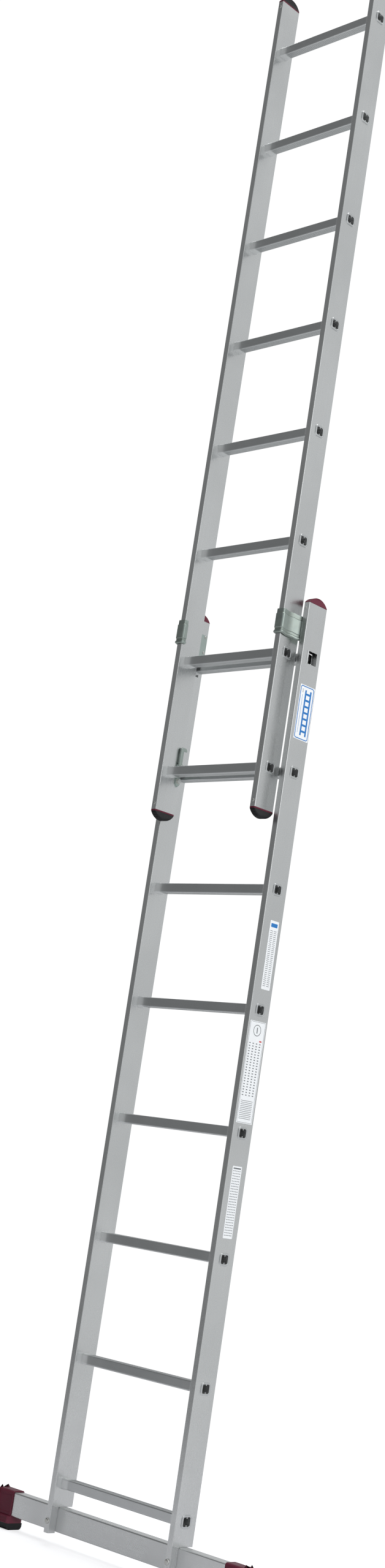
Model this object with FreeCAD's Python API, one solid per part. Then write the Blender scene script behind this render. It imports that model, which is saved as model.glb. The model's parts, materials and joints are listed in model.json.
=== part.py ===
import FreeCAD, Part
import math
import os
from FreeCAD import Vector

# Two-section aluminium extension ladder, standing upright with the fly section run out.
# Frame: origin on the floor, on the ladder's centreline, midway between the two sections.
# +X is to the climber's right, +Y points away from the climber, +Z runs up the stiles.

os.makedirs("parts", exist_ok=True)

# ---------------------------------------------------------------- driving dimensions (mm)
RUNG_COUNT = 8
RUNG_PITCH = 280.0
BASE_WIDTH = 400.0            # over the outer faces of the base stiles
FLY_WIDTH = 338.0             # over the outer faces of the fly stiles
SECTION_CLEARANCE = 6.5       # fly stiles' back faces to the base rungs' fronts
EXTENSION_PITCHES = 6         # how many rungs the fly is run out

STILE_WIDTH = 16.0
STILE_DEPTH = 66.0
STILE_WEB = 1.5
STILE_FLANGE = 2.0
STILE_CORNER = 2.0
STILE_BORE_CORNER = 1.0

BASE_BELOW_FIRST_RUNG = 110.0
BASE_ABOVE_LAST_RUNG = 130.0
FLY_BELOW_FIRST_RUNG = 100.0
FLY_ABOVE_LAST_RUNG = 140.0
BASE_STILE_LIFT = 28.0        # floor to the cut end of the base stiles

RUNG_DEPTH = 25.0
RUNG_HEIGHT = 23.0
RUNG_WALL = 1.6
RUNG_CORNER = 3.0
RUNG_FIT = 0.05               # gap all round in the stile's holes
RUNG_BORE_CORNER = 1.8
RUNG_RIB_WIDTH = 1.6          # stiffening ribs inside, top and bottom
RUNG_RIB_HEIGHT = 3.0
RIM_MARGIN = 2.5              # flared rim beyond the rung, each side
RIM_PROUD = 1.2
COLLAR_MARGIN = 1.5           # swelling beyond the rung where it meets the inner web
COLLAR_LENGTH = 18.0
TREAD_GROOVE_WIDTH = 1.2
TREAD_GROOVE_DEPTH = 0.5
TREAD_GROOVE_PITCH = 3.0
TREAD_GROOVE_COUNT = 6
TOP_HOLE_EXTRA_DEPTH = 7.5    # the open slot behind the base section's top rung
TOP_HOLE_EXTRA_HEIGHT = 4.0   # above and below that rung
TOP_HOLE_CORNER = 1.5
TOP_RUNG_SHORT = 9.0          # that rung stops this far inside the stile's outer face

CAP_PLUG_LENGTH = 28.0
CAP_PLUG_FIT = 0.1
CAP_PLUG_WALL = 2.2
CAP_PLUG_CORNER = 1.0
CAP_WELL_CORNER = 0.8
CAP_RIM = 3.5
FOOT_DOME = 18.5
TOP_DOME = 17.5
CAP_RIVET_INSET = 15.0        # from the stile's end to the rivet
RIVET_RADIUS = 2.0
RIVET_HEAD_RADIUS = 3.6
RIVET_HEAD = 1.3
RIVET_FIT = 0.05

BAR_HALF_LENGTH = 386.0
BAR_HEIGHT = 54.0
BAR_DEPTH = 30.0
BAR_WALL = 2.5
BAR_CORNER = 3.0
BAR_SETBACK = 22.0            # stile's front face to the bar's front face
BAR_FIT = 0.2                 # in the stiles' notches
BAR_ABOVE_STILE_END = 3.0
BAR_BORE_CORNER = 1.0
SWAGE_DEPTH = 0.6             # the stile's end is pressed in below a curved line
SWAGE_FRONT_RISE = 3.5        # above the bar's top, at the front face
SWAGE_BACK_DROP = 5.0         # below the bar's top, at the bar's face
BAR_BOLT_RADIUS = 4.0
BAR_BOLT_DROP = 4.0           # below the bar's middle
BOLT_FIT = 0.1
BAR_BOLT_HEAD_RADIUS = 6.5
BAR_BOLT_HEAD = 4.2

BAR_CAP_LENGTH = 52.0
BAR_CAP_WALL = 3.0
BAR_CAP_FIT = 0.1
BAR_CAP_END = 4.0
BAR_CAP_ROUND = 3.0
FOOT_BLOCK = 13.0             # block under the sleeve
FOOT_BLOCK_OVERLAP = 4.0      # how far it runs up into the sleeve's wall
FOOT_BLOCK_CORNER = 5.0
SOLE_DEPTH = 48.0
SOLE_ROUND = 9.0
SOLE_TONGUE = 4.0
SOLE_TONGUE_WIDTH = 12.0
SOLE_TONGUE_INSET = 8.0       # from each end of the sole
SOLE_FIT = 0.1

BRACKET_HEIGHT = 60.0
BRACKET_BELOW_TOP = 30.0      # stile's top to the bracket's top
BRACKET_SHEET = 2.5
BRACKET_BAND = 36.0
BRACKET_BAND_PROUD = 1.4
BRACKET_BAND_BELOW_TOP = 11.0
BRACKET_ROLL = 6.0            # rolled lower edge
BRACKET_ROLL_PROUD = 2.2
BRACKET_SIDE_GAP = 2.0        # clears the fly rungs' rims
BRACKET_FRONT_GAP = 1.0
BRACKET_LIP = 9.0
BRACKET_LIP_GAP = 0.8
BRACKET_BEND_BACK = 24.0      # from the fly's front face to the outward bend
BRACKET_PLATE_LEAD = 1.0      # the plate starts this far before the base stile's front face
BRACKET_EDGE = 4.0            # from the plate's rear edge to the base stile's back face
BRACKET_RIVET_EDGE = 6.0
BRACKET_RIVET_SPREAD = 40.0

HOOK_PLATE_THICK = 3.0
HOOK_PLATE_HALF = 8.0
HOOK_PLATE_TOP = 12.0         # above the pivot
HOOK_PLATE_LOW = 15.0         # below the lower bolt, to the pointed end
HOOK_PLATE_CHAMFER = 4.0
HOOK_THICK = 4.0
HOOK_SIDE_GAP = 0.4
HOOK_PIVOT_RISE = 16.0        # above the rungs' middle
HOOK_BOLT_DROP = 17.0         # lower bolt, below the rungs' middle
HOOK_PIVOT_EDGE = 8.0         # from the fly stile's back face
HOOK_BOSS = 9.0
HOOK_SEAT_GAP = 3.0           # over the base rung when locked
HOOK_THROAT_GAP = 3.5         # before and behind the base rung when locked
HOOK_LIP = 7.5
HOOK_NOSE = 8.5
HOOK_CHAMFER = 4.5
HOOK_OPEN_ANGLE = 90.0
HOOK_PIN_RADIUS = 4.0
HOOK_PIN_FIT = 0.05
HOOK_HEAD_RADIUS = 7.0
HOOK_HEAD = 4.5
HOOK_HEX_RADIUS = 6.0
HOOK_WASHER = 1.2
NUT_ACROSS_CORNERS = 13.0
NUT_HEIGHT = 6.0

LABEL_THICK = 0.2
LABEL_CORNER = 2.0
# width, height, middle behind the stile's middle, lower edge above its rung, number of that rung
LABELS = {
    "class": (52.0, 132.0, 4.0, 80.0, 7),
    "strip": (30.0, 160.0, 7.0, 48.0, 5),
    "guide": (54.0, 232.0, 0.0, 22.0, 4),
    "grid": (31.0, 160.0, 0.0, 46.0, 3),
}

# ---------------------------------------------------------------- places worked out from them
SECTION_OFFSET = (STILE_DEPTH + RUNG_DEPTH) / 2 + SECTION_CLEARANCE
BASE_Y = SECTION_OFFSET / 2
FLY_Y = -SECTION_OFFSET / 2
RUNG_SPAN = (RUNG_COUNT - 1) * RUNG_PITCH
BASE_FIRST_Z = BASE_STILE_LIFT + BASE_BELOW_FIRST_RUNG
FLY_FIRST_Z = BASE_FIRST_Z + EXTENSION_PITCHES * RUNG_PITCH
BASE_LENGTH = BASE_BELOW_FIRST_RUNG + RUNG_SPAN + BASE_ABOVE_LAST_RUNG
FLY_LENGTH = FLY_BELOW_FIRST_RUNG + RUNG_SPAN + FLY_ABOVE_LAST_RUNG
BASE_TOP_Z = BASE_STILE_LIFT + BASE_LENGTH
FLY_BOTTOM_Z = FLY_FIRST_Z - FLY_BELOW_FIRST_RUNG
FLY_TOP_Z = FLY_BOTTOM_Z + FLY_LENGTH
BASE_HALF = BASE_WIDTH / 2
FLY_HALF = FLY_WIDTH / 2
BASE_INNER = BASE_HALF - STILE_WIDTH
FLY_INNER = FLY_HALF - STILE_WIDTH
BASE_FRONT_Y = BASE_Y - STILE_DEPTH / 2
BASE_BACK_Y = BASE_Y + STILE_DEPTH / 2
FLY_FRONT_Y = FLY_Y - STILE_DEPTH / 2
FLY_BACK_Y = FLY_Y + STILE_DEPTH / 2
BAR_FRONT_Y = BASE_FRONT_Y + BAR_SETBACK
BAR_Y = BAR_FRONT_Y + BAR_DEPTH / 2
BAR_BOTTOM_Z = BASE_STILE_LIFT + BAR_ABOVE_STILE_END
BAR_TOP_Z = BAR_BOTTOM_Z + BAR_HEIGHT
BAR_Z = BAR_BOTTOM_Z + BAR_HEIGHT / 2
BAR_BOLT_Z = BAR_Z - BAR_BOLT_DROP
PIVOT_Y = FLY_BACK_Y - HOOK_PIVOT_EDGE
PIVOT_Z = FLY_FIRST_Z + HOOK_PIVOT_RISE
HOOK_BOLT_Z = FLY_FIRST_Z - HOOK_BOLT_DROP
BRACKET_TOP_Z = BASE_TOP_Z - BRACKET_BELOW_TOP
BRACKET_LOW_Z = BRACKET_TOP_Z - BRACKET_HEIGHT
BRACKET_RIVET_Y = BASE_BACK_Y - BRACKET_EDGE - BRACKET_RIVET_EDGE
SIDES = {"left": -1, "right": 1}


# ---------------------------------------------------------------- shared shapes
def box(x0, x1, y0, y1, z0, z1):
    """A block between two values on each axis, given in any order."""
    low = Vector(min(x0, x1), min(y0, y1), min(z0, z1))
    return Part.makeBox(abs(x1 - x0), abs(y1 - y0), abs(z1 - z0), low)


def rod(radius, start, end):
    """A round rod between two points."""
    along = end - start
    return Part.makeCylinder(radius, along.Length, start, along)


def rounded_outline(half_u, half_v, radius, to_point):
    """A rounded rectangle about (0, 0); to_point places each (u, v)."""
    edges = []
    last_end = None
    first_start = None
    for quarter in range(4):
        middle_angle = math.radians(45 + 90 * quarter)
        centre_u = math.copysign(half_u - radius, math.cos(middle_angle))
        centre_v = math.copysign(half_v - radius, math.sin(middle_angle))
        points = []
        for step in range(3):
            angle = math.radians(90 * quarter + 45 * step)
            u = centre_u + radius * math.cos(angle)
            v = centre_v + radius * math.sin(angle)
            points.append(to_point(u, v))
        if last_end is None:
            first_start = points[0]
        else:
            edges.append(Part.LineSegment(last_end, points[0]).toShape())
        edges.append(Part.Arc(*points).toShape())
        last_end = points[2]
    edges.append(Part.LineSegment(last_end, first_start).toShape())
    return Part.Wire(edges)


def upright_bar(width, depth, radius, x, y, z0, z1):
    """A bar along Z with a rounded rectangular section."""
    wire = rounded_outline(width / 2, depth / 2, radius, lambda u, v: Vector(x + u, y + v, z0))
    return Part.Face(wire).extrude(Vector(0, 0, z1 - z0))


def cross_outline(depth, height, radius, x, y, z):
    """A rounded rectangle across X, for rungs and the crossbar."""
    return rounded_outline(depth / 2, height / 2, radius, lambda u, v: Vector(x, y + u, z + v))


def cross_bar(depth, height, radius, x0, x1, y, z):
    """A bar along X with a rounded rectangular section."""
    face = Part.Face(cross_outline(depth, height, radius, x0, y, z))
    return face.extrude(Vector(x1 - x0, 0, 0))


def side_plate(points, x0, x1):
    """A flat plate across X with straight sides through (y, z) points."""
    corners = [Vector(x0, y, z) for y, z in points]
    face = Part.Face(Part.makePolygon(corners + corners[:1]))
    return face.extrude(Vector(x1 - x0, 0, 0))


def dome(width, depth, rise, x, y, z):
    """A cap whose side view is an arc of a circle; rise below zero points down."""
    left = Vector(x - width / 2, y - depth / 2, z)
    crown = Vector(x - width / 2, y, z + rise)
    right = Vector(x - width / 2, y + depth / 2, z)
    wire = Part.Wire([Part.Arc(left, crown, right).toShape(), Part.LineSegment(right, left).toShape()])
    solid = Part.Face(wire).extrude(Vector(width, 0, 0))
    curved = [edge for edge in solid.Edges if edge.Curve.TypeId == "Part::GeomCircle"]
    return solid.makeFillet(STILE_CORNER, curved)


def joined(shapes):
    first = shapes[0]
    return first.fuse(shapes[1:]).removeSplitter()


def save(name, shape):
    if not shape.isValid():
        raise ValueError(name + " is not a valid shape")
    shape.exportStep("parts/" + name + ".step")


# ---------------------------------------------------------------- stiles
def hollow_stile(x, y, z0, z1):
    outer = upright_bar(STILE_WIDTH, STILE_DEPTH, STILE_CORNER, x, y, z0, z1)
    bore_width = STILE_WIDTH - 2 * STILE_WEB
    bore_depth = STILE_DEPTH - 2 * STILE_FLANGE
    return outer.cut(upright_bar(bore_width, bore_depth, STILE_BORE_CORNER, x, y, z0 - 1, z1 + 1))


def rung_holes(x, y, first_z, skip_last):
    """Cutters for the rungs through both webs."""
    reach = STILE_WIDTH / 2 + 1
    depth = RUNG_DEPTH + 2 * RUNG_FIT
    height = RUNG_HEIGHT + 2 * RUNG_FIT
    radius = RUNG_CORNER + RUNG_FIT
    count = RUNG_COUNT - 1 if skip_last else RUNG_COUNT
    heights = [first_z + index * RUNG_PITCH for index in range(count)]
    return [cross_bar(depth, height, radius, x - reach, x + reach, y, z) for z in heights]


def top_rung_slot(x):
    """The square opening at the base section's top rung, longer to the back than the rung."""
    reach = STILE_WIDTH / 2 + 1
    depth = RUNG_DEPTH + 2 * RUNG_FIT + TOP_HOLE_EXTRA_DEPTH
    height = RUNG_HEIGHT + 2 * RUNG_FIT + 2 * TOP_HOLE_EXTRA_HEIGHT
    y = BASE_Y + TOP_HOLE_EXTRA_DEPTH / 2
    z = BASE_FIRST_Z + RUNG_SPAN
    return cross_bar(depth, height, TOP_HOLE_CORNER, x - reach, x + reach, y, z)


def cap_rivet_hole(x, front_y, z):
    start = Vector(x, front_y - 1, z)
    end = Vector(x, front_y + STILE_FLANGE + 1, z)
    return rod(RIVET_RADIUS + RIVET_FIT, start, end)


def swaged_sides(x):
    """Slivers taken off both webs below the curved line over the crossbar."""
    front = BASE_FRONT_Y - 1
    high = Vector(0, BASE_FRONT_Y - 1, BAR_TOP_Z + SWAGE_FRONT_RISE)
    middle = Vector(0, (BASE_FRONT_Y + BAR_FRONT_Y) / 2, BAR_TOP_Z - SWAGE_BACK_DROP / 2)
    low = Vector(0, BAR_FRONT_Y + 1, BAR_TOP_Z - SWAGE_BACK_DROP)
    low_front = Vector(0, front, BASE_STILE_LIFT - 1)
    low_back = Vector(0, BAR_FRONT_Y + 1, BASE_STILE_LIFT - 1)
    edges = [Part.Arc(high, middle, low).toShape()]
    for start, end in ((low, low_back), (low_back, low_front), (low_front, high)):
        edges.append(Part.LineSegment(start, end).toShape())
    sliver = Part.Face(Part.Wire(edges)).extrude(Vector(SWAGE_DEPTH + 1, 0, 0))
    outward = sliver.translated(Vector(x + STILE_WIDTH / 2 - SWAGE_DEPTH, 0, 0))
    inward = sliver.translated(Vector(x - STILE_WIDTH / 2 - 1, 0, 0))
    return [outward, inward]


def base_stile(side):
    x = side * (BASE_HALF - STILE_WIDTH / 2)
    stile = hollow_stile(x, BASE_Y, BASE_STILE_LIFT, BASE_TOP_Z)
    cutters = rung_holes(x, BASE_Y, BASE_FIRST_Z, True)
    cutters.append(top_rung_slot(x))
    cutters.append(cap_rivet_hole(x, BASE_FRONT_Y, BASE_TOP_Z - CAP_RIVET_INSET))
    # the bar sits in a notch behind the stile's front part
    notch_top = BAR_TOP_Z + BAR_FIT
    cutters.append(box(x - STILE_WIDTH, x + STILE_WIDTH, BAR_FRONT_Y - BAR_FIT, BASE_BACK_Y + 1,
                       BASE_STILE_LIFT - 1, notch_top))
    bolt_hole = rod(BAR_BOLT_RADIUS + BOLT_FIT, Vector(x, BASE_FRONT_Y - 1, BAR_BOLT_Z),
                    Vector(x, BASE_FRONT_Y + STILE_FLANGE + 1, BAR_BOLT_Z))
    cutters.append(bolt_hole)
    cutters += swaged_sides(x)
    inner_x = side * BASE_INNER
    for z in bracket_rivet_heights():
        cutters.append(rod(RIVET_RADIUS + RIVET_FIT, Vector(inner_x - side, BRACKET_RIVET_Y, z),
                           Vector(inner_x + side * (STILE_WEB + 1), BRACKET_RIVET_Y, z)))
    return stile.cut(cutters)


def fly_stile(side):
    x = side * (FLY_HALF - STILE_WIDTH / 2)
    stile = hollow_stile(x, FLY_Y, FLY_BOTTOM_Z, FLY_TOP_Z)
    cutters = rung_holes(x, FLY_Y, FLY_FIRST_Z, False)
    cutters.append(cap_rivet_hole(x, FLY_FRONT_Y, FLY_BOTTOM_Z + CAP_RIVET_INSET))
    cutters.append(cap_rivet_hole(x, FLY_FRONT_Y, FLY_TOP_Z - CAP_RIVET_INSET))
    inner_x = side * FLY_INNER
    for z in (PIVOT_Z, HOOK_BOLT_Z):
        cutters.append(rod(HOOK_PIN_RADIUS + BOLT_FIT, Vector(inner_x - side, PIVOT_Y, z),
                           Vector(inner_x + side * (STILE_WEB + 1), PIVOT_Y, z)))
    return stile.cut(cutters)


# ---------------------------------------------------------------- rungs
def tread_grooves(half, y, z):
    """Fine lengthwise grooves along the top and the underside."""
    cutters = []
    first = -(TREAD_GROOVE_COUNT - 1) / 2
    for index in range(TREAD_GROOVE_COUNT):
        groove_y = y + (first + index) * TREAD_GROOVE_PITCH
        y0 = groove_y - TREAD_GROOVE_WIDTH / 2
        y1 = groove_y + TREAD_GROOVE_WIDTH / 2
        for sign in (-1, 1):
            face_z = z + sign * RUNG_HEIGHT / 2
            cutters.append(box(-half, half, y0, y1, face_z - sign * TREAD_GROOVE_DEPTH, face_z + sign))
    return cutters


def rung_collar(inner, side, y, z):
    wide = cross_outline(RUNG_DEPTH + 2 * COLLAR_MARGIN, RUNG_HEIGHT + 2 * COLLAR_MARGIN,
                         RUNG_CORNER + COLLAR_MARGIN, side * inner, y, z)
    waist_x = side * (inner - COLLAR_LENGTH)
    plain = cross_outline(RUNG_DEPTH, RUNG_HEIGHT, RUNG_CORNER, waist_x, y, z)
    return Part.makeLoft([wide, plain], True)


def rung_rim(outer, side, y, z):
    return cross_bar(RUNG_DEPTH + 2 * RIM_MARGIN, RUNG_HEIGHT + 2 * RIM_MARGIN, RUNG_CORNER + RIM_MARGIN,
                     side * outer, side * (outer + RIM_PROUD), y, z)


def top_rung_tab(outer, side, y, z):
    """The base section's top rung reaches the outer face at its front only, where it is flared."""
    front = y - RUNG_DEPTH / 2
    half = RUNG_HEIGHT / 2 + TOP_HOLE_EXTRA_HEIGHT
    flare = box(side * outer, side * (outer + RIM_PROUD), front - RIM_MARGIN, front + RUNG_WALL,
                z - half, z + half)
    tongue_half = RUNG_HEIGHT / 2 - RUNG_CORNER
    tongue = box(side * (outer - TOP_RUNG_SHORT - 1), side * (outer + RIM_PROUD), front, front + RUNG_WALL,
                 z - tongue_half, z + tongue_half)
    return flare.fuse(tongue)


def rung(half_width, y, z, is_base_top):
    """A hollow rung through both stiles, swollen inside and flared outside."""
    inner = half_width - STILE_WIDTH
    end = half_width - TOP_RUNG_SHORT if is_base_top else half_width + RIM_PROUD
    solids = [cross_bar(RUNG_DEPTH, RUNG_HEIGHT, RUNG_CORNER, -end, end, y, z)]
    for side in SIDES.values():
        solids.append(rung_collar(inner, side, y, z))
        if is_base_top:
            solids.append(top_rung_tab(half_width, side, y, z))
        else:
            solids.append(rung_rim(half_width, side, y, z))
    bore = cross_bar(RUNG_DEPTH - 2 * RUNG_WALL, RUNG_HEIGHT - 2 * RUNG_WALL, RUNG_BORE_CORNER,
                     -end - 1, end + 1, y, z)
    rib_half = RUNG_RIB_WIDTH / 2
    for sign in (-1, 1):
        root = z + sign * (RUNG_HEIGHT / 2 - RUNG_WALL)
        tip = root - sign * RUNG_RIB_HEIGHT
        bore = bore.cut(box(-end - 2, end + 2, y - rib_half, y + rib_half, tip, root + sign))
    grooves = tread_grooves(inner - COLLAR_LENGTH - 1, y, z)
    return joined(solids).cut([bore] + grooves)


# ---------------------------------------------------------------- end caps
def cap_plug(x, y, z_end, into):
    """The hollow plug that grips inside a stile; into is +1 for up, -1 for down."""
    width = STILE_WIDTH - 2 * (STILE_WEB + CAP_PLUG_FIT)
    depth = STILE_DEPTH - 2 * (STILE_FLANGE + CAP_PLUG_FIT)
    z_tip = z_end + into * CAP_PLUG_LENGTH
    plug = upright_bar(width, depth, CAP_PLUG_CORNER, x, y, min(z_end, z_tip), max(z_end, z_tip))
    well_start = z_end + into * CAP_PLUG_WALL
    well_end = z_tip + into
    well = upright_bar(width - 2 * CAP_PLUG_WALL, depth - 2 * CAP_PLUG_WALL, CAP_WELL_CORNER, x, y,
                       min(well_start, well_end), max(well_start, well_end))
    return plug.cut(well)


def plug_rivet_hole(x, front_y, z):
    start = Vector(x, front_y - 1, z)
    end = Vector(x, front_y + STILE_FLANGE + CAP_PLUG_FIT + CAP_PLUG_WALL + 1, z)
    return rod(RIVET_RADIUS + RIVET_FIT, start, end)


def base_top_cap(side):
    x = side * (BASE_HALF - STILE_WIDTH / 2)
    top = dome(STILE_WIDTH, STILE_DEPTH, TOP_DOME, x, BASE_Y, BASE_TOP_Z)
    solid = joined([top, cap_plug(x, BASE_Y, BASE_TOP_Z, -1)])
    return solid.cut(plug_rivet_hole(x, BASE_FRONT_Y, BASE_TOP_Z - CAP_RIVET_INSET))


def fly_cap_plug(side, z_end, into):
    """Burgundy plug with a thin rim; the rubber part keys into a slot under it."""
    x = side * (FLY_HALF - STILE_WIDTH / 2)
    rim_z = z_end - into * CAP_RIM
    rim = upright_bar(STILE_WIDTH, STILE_DEPTH, STILE_CORNER, x, FLY_Y,
                      min(z_end, rim_z), max(z_end, rim_z))
    solid = joined([rim, cap_plug(x, FLY_Y, z_end, into)])
    return solid.cut(plug_rivet_hole(x, FLY_FRONT_Y, z_end + into * CAP_RIVET_INSET))


def fly_cap_rubber(side, z_end, into):
    x = side * (FLY_HALF - STILE_WIDTH / 2)
    return dome(STILE_WIDTH, STILE_DEPTH, -into * FOOT_DOME, x, FLY_Y, z_end - into * CAP_RIM)


def front_rivet(x, front_y, z):
    """A round-head rivet through a stile's front face into its plug."""
    tip = front_y + STILE_FLANGE + CAP_PLUG_FIT + CAP_PLUG_WALL
    shank = rod(RIVET_RADIUS, Vector(x, front_y - 0.2, z), Vector(x, tip, z))
    head = rod(RIVET_HEAD_RADIUS, Vector(x, front_y - RIVET_HEAD, z), Vector(x, front_y, z))
    rim = [edge for edge in head.Edges if abs(edge.CenterOfMass.y - (front_y - RIVET_HEAD)) < 1e-6]
    return joined([head.makeFillet(RIVET_HEAD * 0.8, rim), shank])


# ---------------------------------------------------------------- crossbar and feet
def crossbar():
    bar = cross_bar(BAR_DEPTH, BAR_HEIGHT, BAR_CORNER, -BAR_HALF_LENGTH, BAR_HALF_LENGTH, BAR_Y, BAR_Z)
    bore = cross_bar(BAR_DEPTH - 2 * BAR_WALL, BAR_HEIGHT - 2 * BAR_WALL, BAR_BORE_CORNER,
                     -BAR_HALF_LENGTH - 1, BAR_HALF_LENGTH + 1, BAR_Y, BAR_Z)
    cutters = [bore]
    for side in SIDES.values():
        x = side * (BASE_HALF - STILE_WIDTH / 2)
        cutters.append(rod(BAR_BOLT_RADIUS + BOLT_FIT, Vector(x, BAR_FRONT_Y - 1, BAR_BOLT_Z),
                           Vector(x, BAR_FRONT_Y + BAR_DEPTH + 1, BAR_BOLT_Z)))
    return bar.cut(cutters)


def crossbar_bolt(side):
    """A round-head bolt from the stile's front face through the bar."""
    x = side * (BASE_HALF - STILE_WIDTH / 2)
    tip = BAR_FRONT_Y + BAR_DEPTH + NUT_HEIGHT + 2
    shank = rod(BAR_BOLT_RADIUS, Vector(x, BASE_FRONT_Y - 0.5, BAR_BOLT_Z), Vector(x, tip, BAR_BOLT_Z))
    head = rod(BAR_BOLT_HEAD_RADIUS, Vector(x, BASE_FRONT_Y - BAR_BOLT_HEAD, BAR_BOLT_Z),
               Vector(x, BASE_FRONT_Y, BAR_BOLT_Z))
    face_y = BASE_FRONT_Y - BAR_BOLT_HEAD
    rim = [edge for edge in head.Edges if abs(edge.CenterOfMass.y - face_y) < 1e-6]
    return joined([head.makeFillet(BAR_BOLT_HEAD * 0.75, rim), shank])


def hex_nut(centre, along, radius, bore):
    """A hexagon nut whose near face is at centre."""
    direction = Vector(along)
    across = Vector(0, 0, 1)
    other = direction.cross(across)
    corners = []
    for step in range(6):
        angle = math.radians(60 * step)
        corners.append(centre + across * (radius * math.cos(angle)) + other * (radius * math.sin(angle)))
    prism = Part.Face(Part.makePolygon(corners + corners[:1])).extrude(direction * NUT_HEIGHT)
    return prism.cut(rod(bore, centre - direction, centre + direction * (NUT_HEIGHT + 1)))


def crossbar_nut(side):
    x = side * (BASE_HALF - STILE_WIDTH / 2)
    centre = Vector(x, BAR_FRONT_Y + BAR_DEPTH, BAR_BOLT_Z)
    return hex_nut(centre, (0, 1, 0), NUT_ACROSS_CORNERS / 2, BAR_BOLT_RADIUS + BOLT_FIT)


def bar_cap_span(side):
    end = side * (BAR_HALF_LENGTH + BAR_CAP_END)
    return end - side * BAR_CAP_LENGTH, end


def crossbar_end_cap(side):
    """Sleeve over the bar's end, with the block that carries the rubber sole."""
    mouth, end = bar_cap_span(side)
    sleeve_depth = BAR_DEPTH + 2 * BAR_CAP_WALL
    sleeve_height = BAR_HEIGHT + 2 * BAR_CAP_WALL
    sleeve = cross_bar(sleeve_depth, sleeve_height, BAR_CORNER + BAR_CAP_WALL, mouth, end, BAR_Y, BAR_Z)
    end_edges = [edge for edge in sleeve.Edges if abs(edge.CenterOfMass.x - end) < 1e-6]
    sleeve = sleeve.makeFillet(BAR_CAP_ROUND, end_edges)
    block_top = BAR_BOTTOM_Z - BAR_CAP_WALL + FOOT_BLOCK_OVERLAP
    block_low = BAR_BOTTOM_Z - BAR_CAP_WALL - FOOT_BLOCK
    centre_x = (mouth + end) / 2
    block = upright_bar(BAR_CAP_LENGTH, SOLE_DEPTH, FOOT_BLOCK_CORNER, centre_x, BAR_Y, block_low, block_top)
    pocket = cross_bar(BAR_DEPTH + 2 * BAR_CAP_FIT, BAR_HEIGHT + 2 * BAR_CAP_FIT, BAR_CORNER,
                       mouth - side, end - side * BAR_CAP_END, BAR_Y, BAR_Z)
    inset = side * SOLE_TONGUE_INSET
    half = SOLE_TONGUE_WIDTH / 2
    slot = box(mouth + inset, end - inset, BAR_Y - half, BAR_Y + half, block_low - 1, block_low + SOLE_TONGUE)
    return joined([sleeve, block]).cut([pocket, slot])


def crossbar_sole(side):
    """Rubber sole, rounded front and back, keyed into the block above it."""
    mouth, end = bar_cap_span(side)
    top = BAR_BOTTOM_Z - BAR_CAP_WALL - FOOT_BLOCK
    half = SOLE_DEPTH / 2
    front = BAR_Y - half
    back = BAR_Y + half
    bend = SOLE_ROUND * (1 - math.sqrt(0.5))
    points = {
        "front_top": Vector(mouth, front, top),
        "front_low": Vector(mouth, front, SOLE_ROUND),
        "front_mid": Vector(mouth, front + bend, bend),
        "front_flat": Vector(mouth, front + SOLE_ROUND, 0),
        "back_flat": Vector(mouth, back - SOLE_ROUND, 0),
        "back_mid": Vector(mouth, back - bend, bend),
        "back_low": Vector(mouth, back, SOLE_ROUND),
        "back_top": Vector(mouth, back, top),
    }
    edges = [
        Part.LineSegment(points["front_top"], points["front_low"]).toShape(),
        Part.Arc(points["front_low"], points["front_mid"], points["front_flat"]).toShape(),
        Part.LineSegment(points["front_flat"], points["back_flat"]).toShape(),
        Part.Arc(points["back_flat"], points["back_mid"], points["back_low"]).toShape(),
        Part.LineSegment(points["back_low"], points["back_top"]).toShape(),
        Part.LineSegment(points["back_top"], points["front_top"]).toShape(),
    ]
    pad = Part.Face(Part.Wire(edges)).extrude(Vector(end - mouth, 0, 0))
    inset = side * (SOLE_TONGUE_INSET + SOLE_FIT)
    tongue_half = SOLE_TONGUE_WIDTH / 2 - SOLE_FIT
    tongue = box(mouth + inset, end - inset, BAR_Y - tongue_half, BAR_Y + tongue_half,
                 top - 1, top + SOLE_TONGUE - SOLE_FIT)
    return joined([pad, tongue])


# ---------------------------------------------------------------- guide brackets
def bracket_rivet_heights():
    middle = BRACKET_LOW_Z + BRACKET_HEIGHT / 2
    return (middle - BRACKET_RIVET_SPREAD / 2, middle + BRACKET_RIVET_SPREAD / 2)


def bracket_strap(side, thick, z0, z1):
    """The bent strap seen from above: lip, front, side, outward bend and fixing plate."""
    lip_out = FLY_INNER - BRACKET_LIP_GAP
    side_in = FLY_HALF + BRACKET_SIDE_GAP
    front_in = FLY_FRONT_Y - BRACKET_FRONT_GAP
    bend_y = FLY_FRONT_Y + BRACKET_BEND_BACK
    plate_in = BASE_INNER - BRACKET_SHEET
    plate_y = BASE_FRONT_Y - BRACKET_PLATE_LEAD
    rear_y = BASE_BACK_Y - BRACKET_EDGE
    proud = thick - BRACKET_SHEET
    lip = box(side * (lip_out - thick), side * lip_out, front_in - thick, FLY_FRONT_Y + BRACKET_LIP, z0, z1)
    front = box(side * (lip_out - thick), side * (side_in + thick), front_in - thick, front_in, z0, z1)
    web = box(side * side_in, side * (side_in + thick), front_in - thick, bend_y, z0, z1)
    slant_points = [
        Vector(side * side_in, bend_y, z0),
        Vector(side * plate_in, plate_y, z0),
        Vector(side * BASE_INNER, plate_y, z0),
        Vector(side * BASE_INNER, plate_y - proud, z0),
        Vector(side * (side_in + thick), bend_y, z0),
    ]
    if proud == 0:
        slant_points.pop(3)
    slant = Part.Face(Part.makePolygon(slant_points + slant_points[:1])).extrude(Vector(0, 0, z1 - z0))
    plate = box(side * plate_in, side * BASE_INNER, plate_y, rear_y, z0, z1)
    return [lip, front, web, slant, plate]


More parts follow.
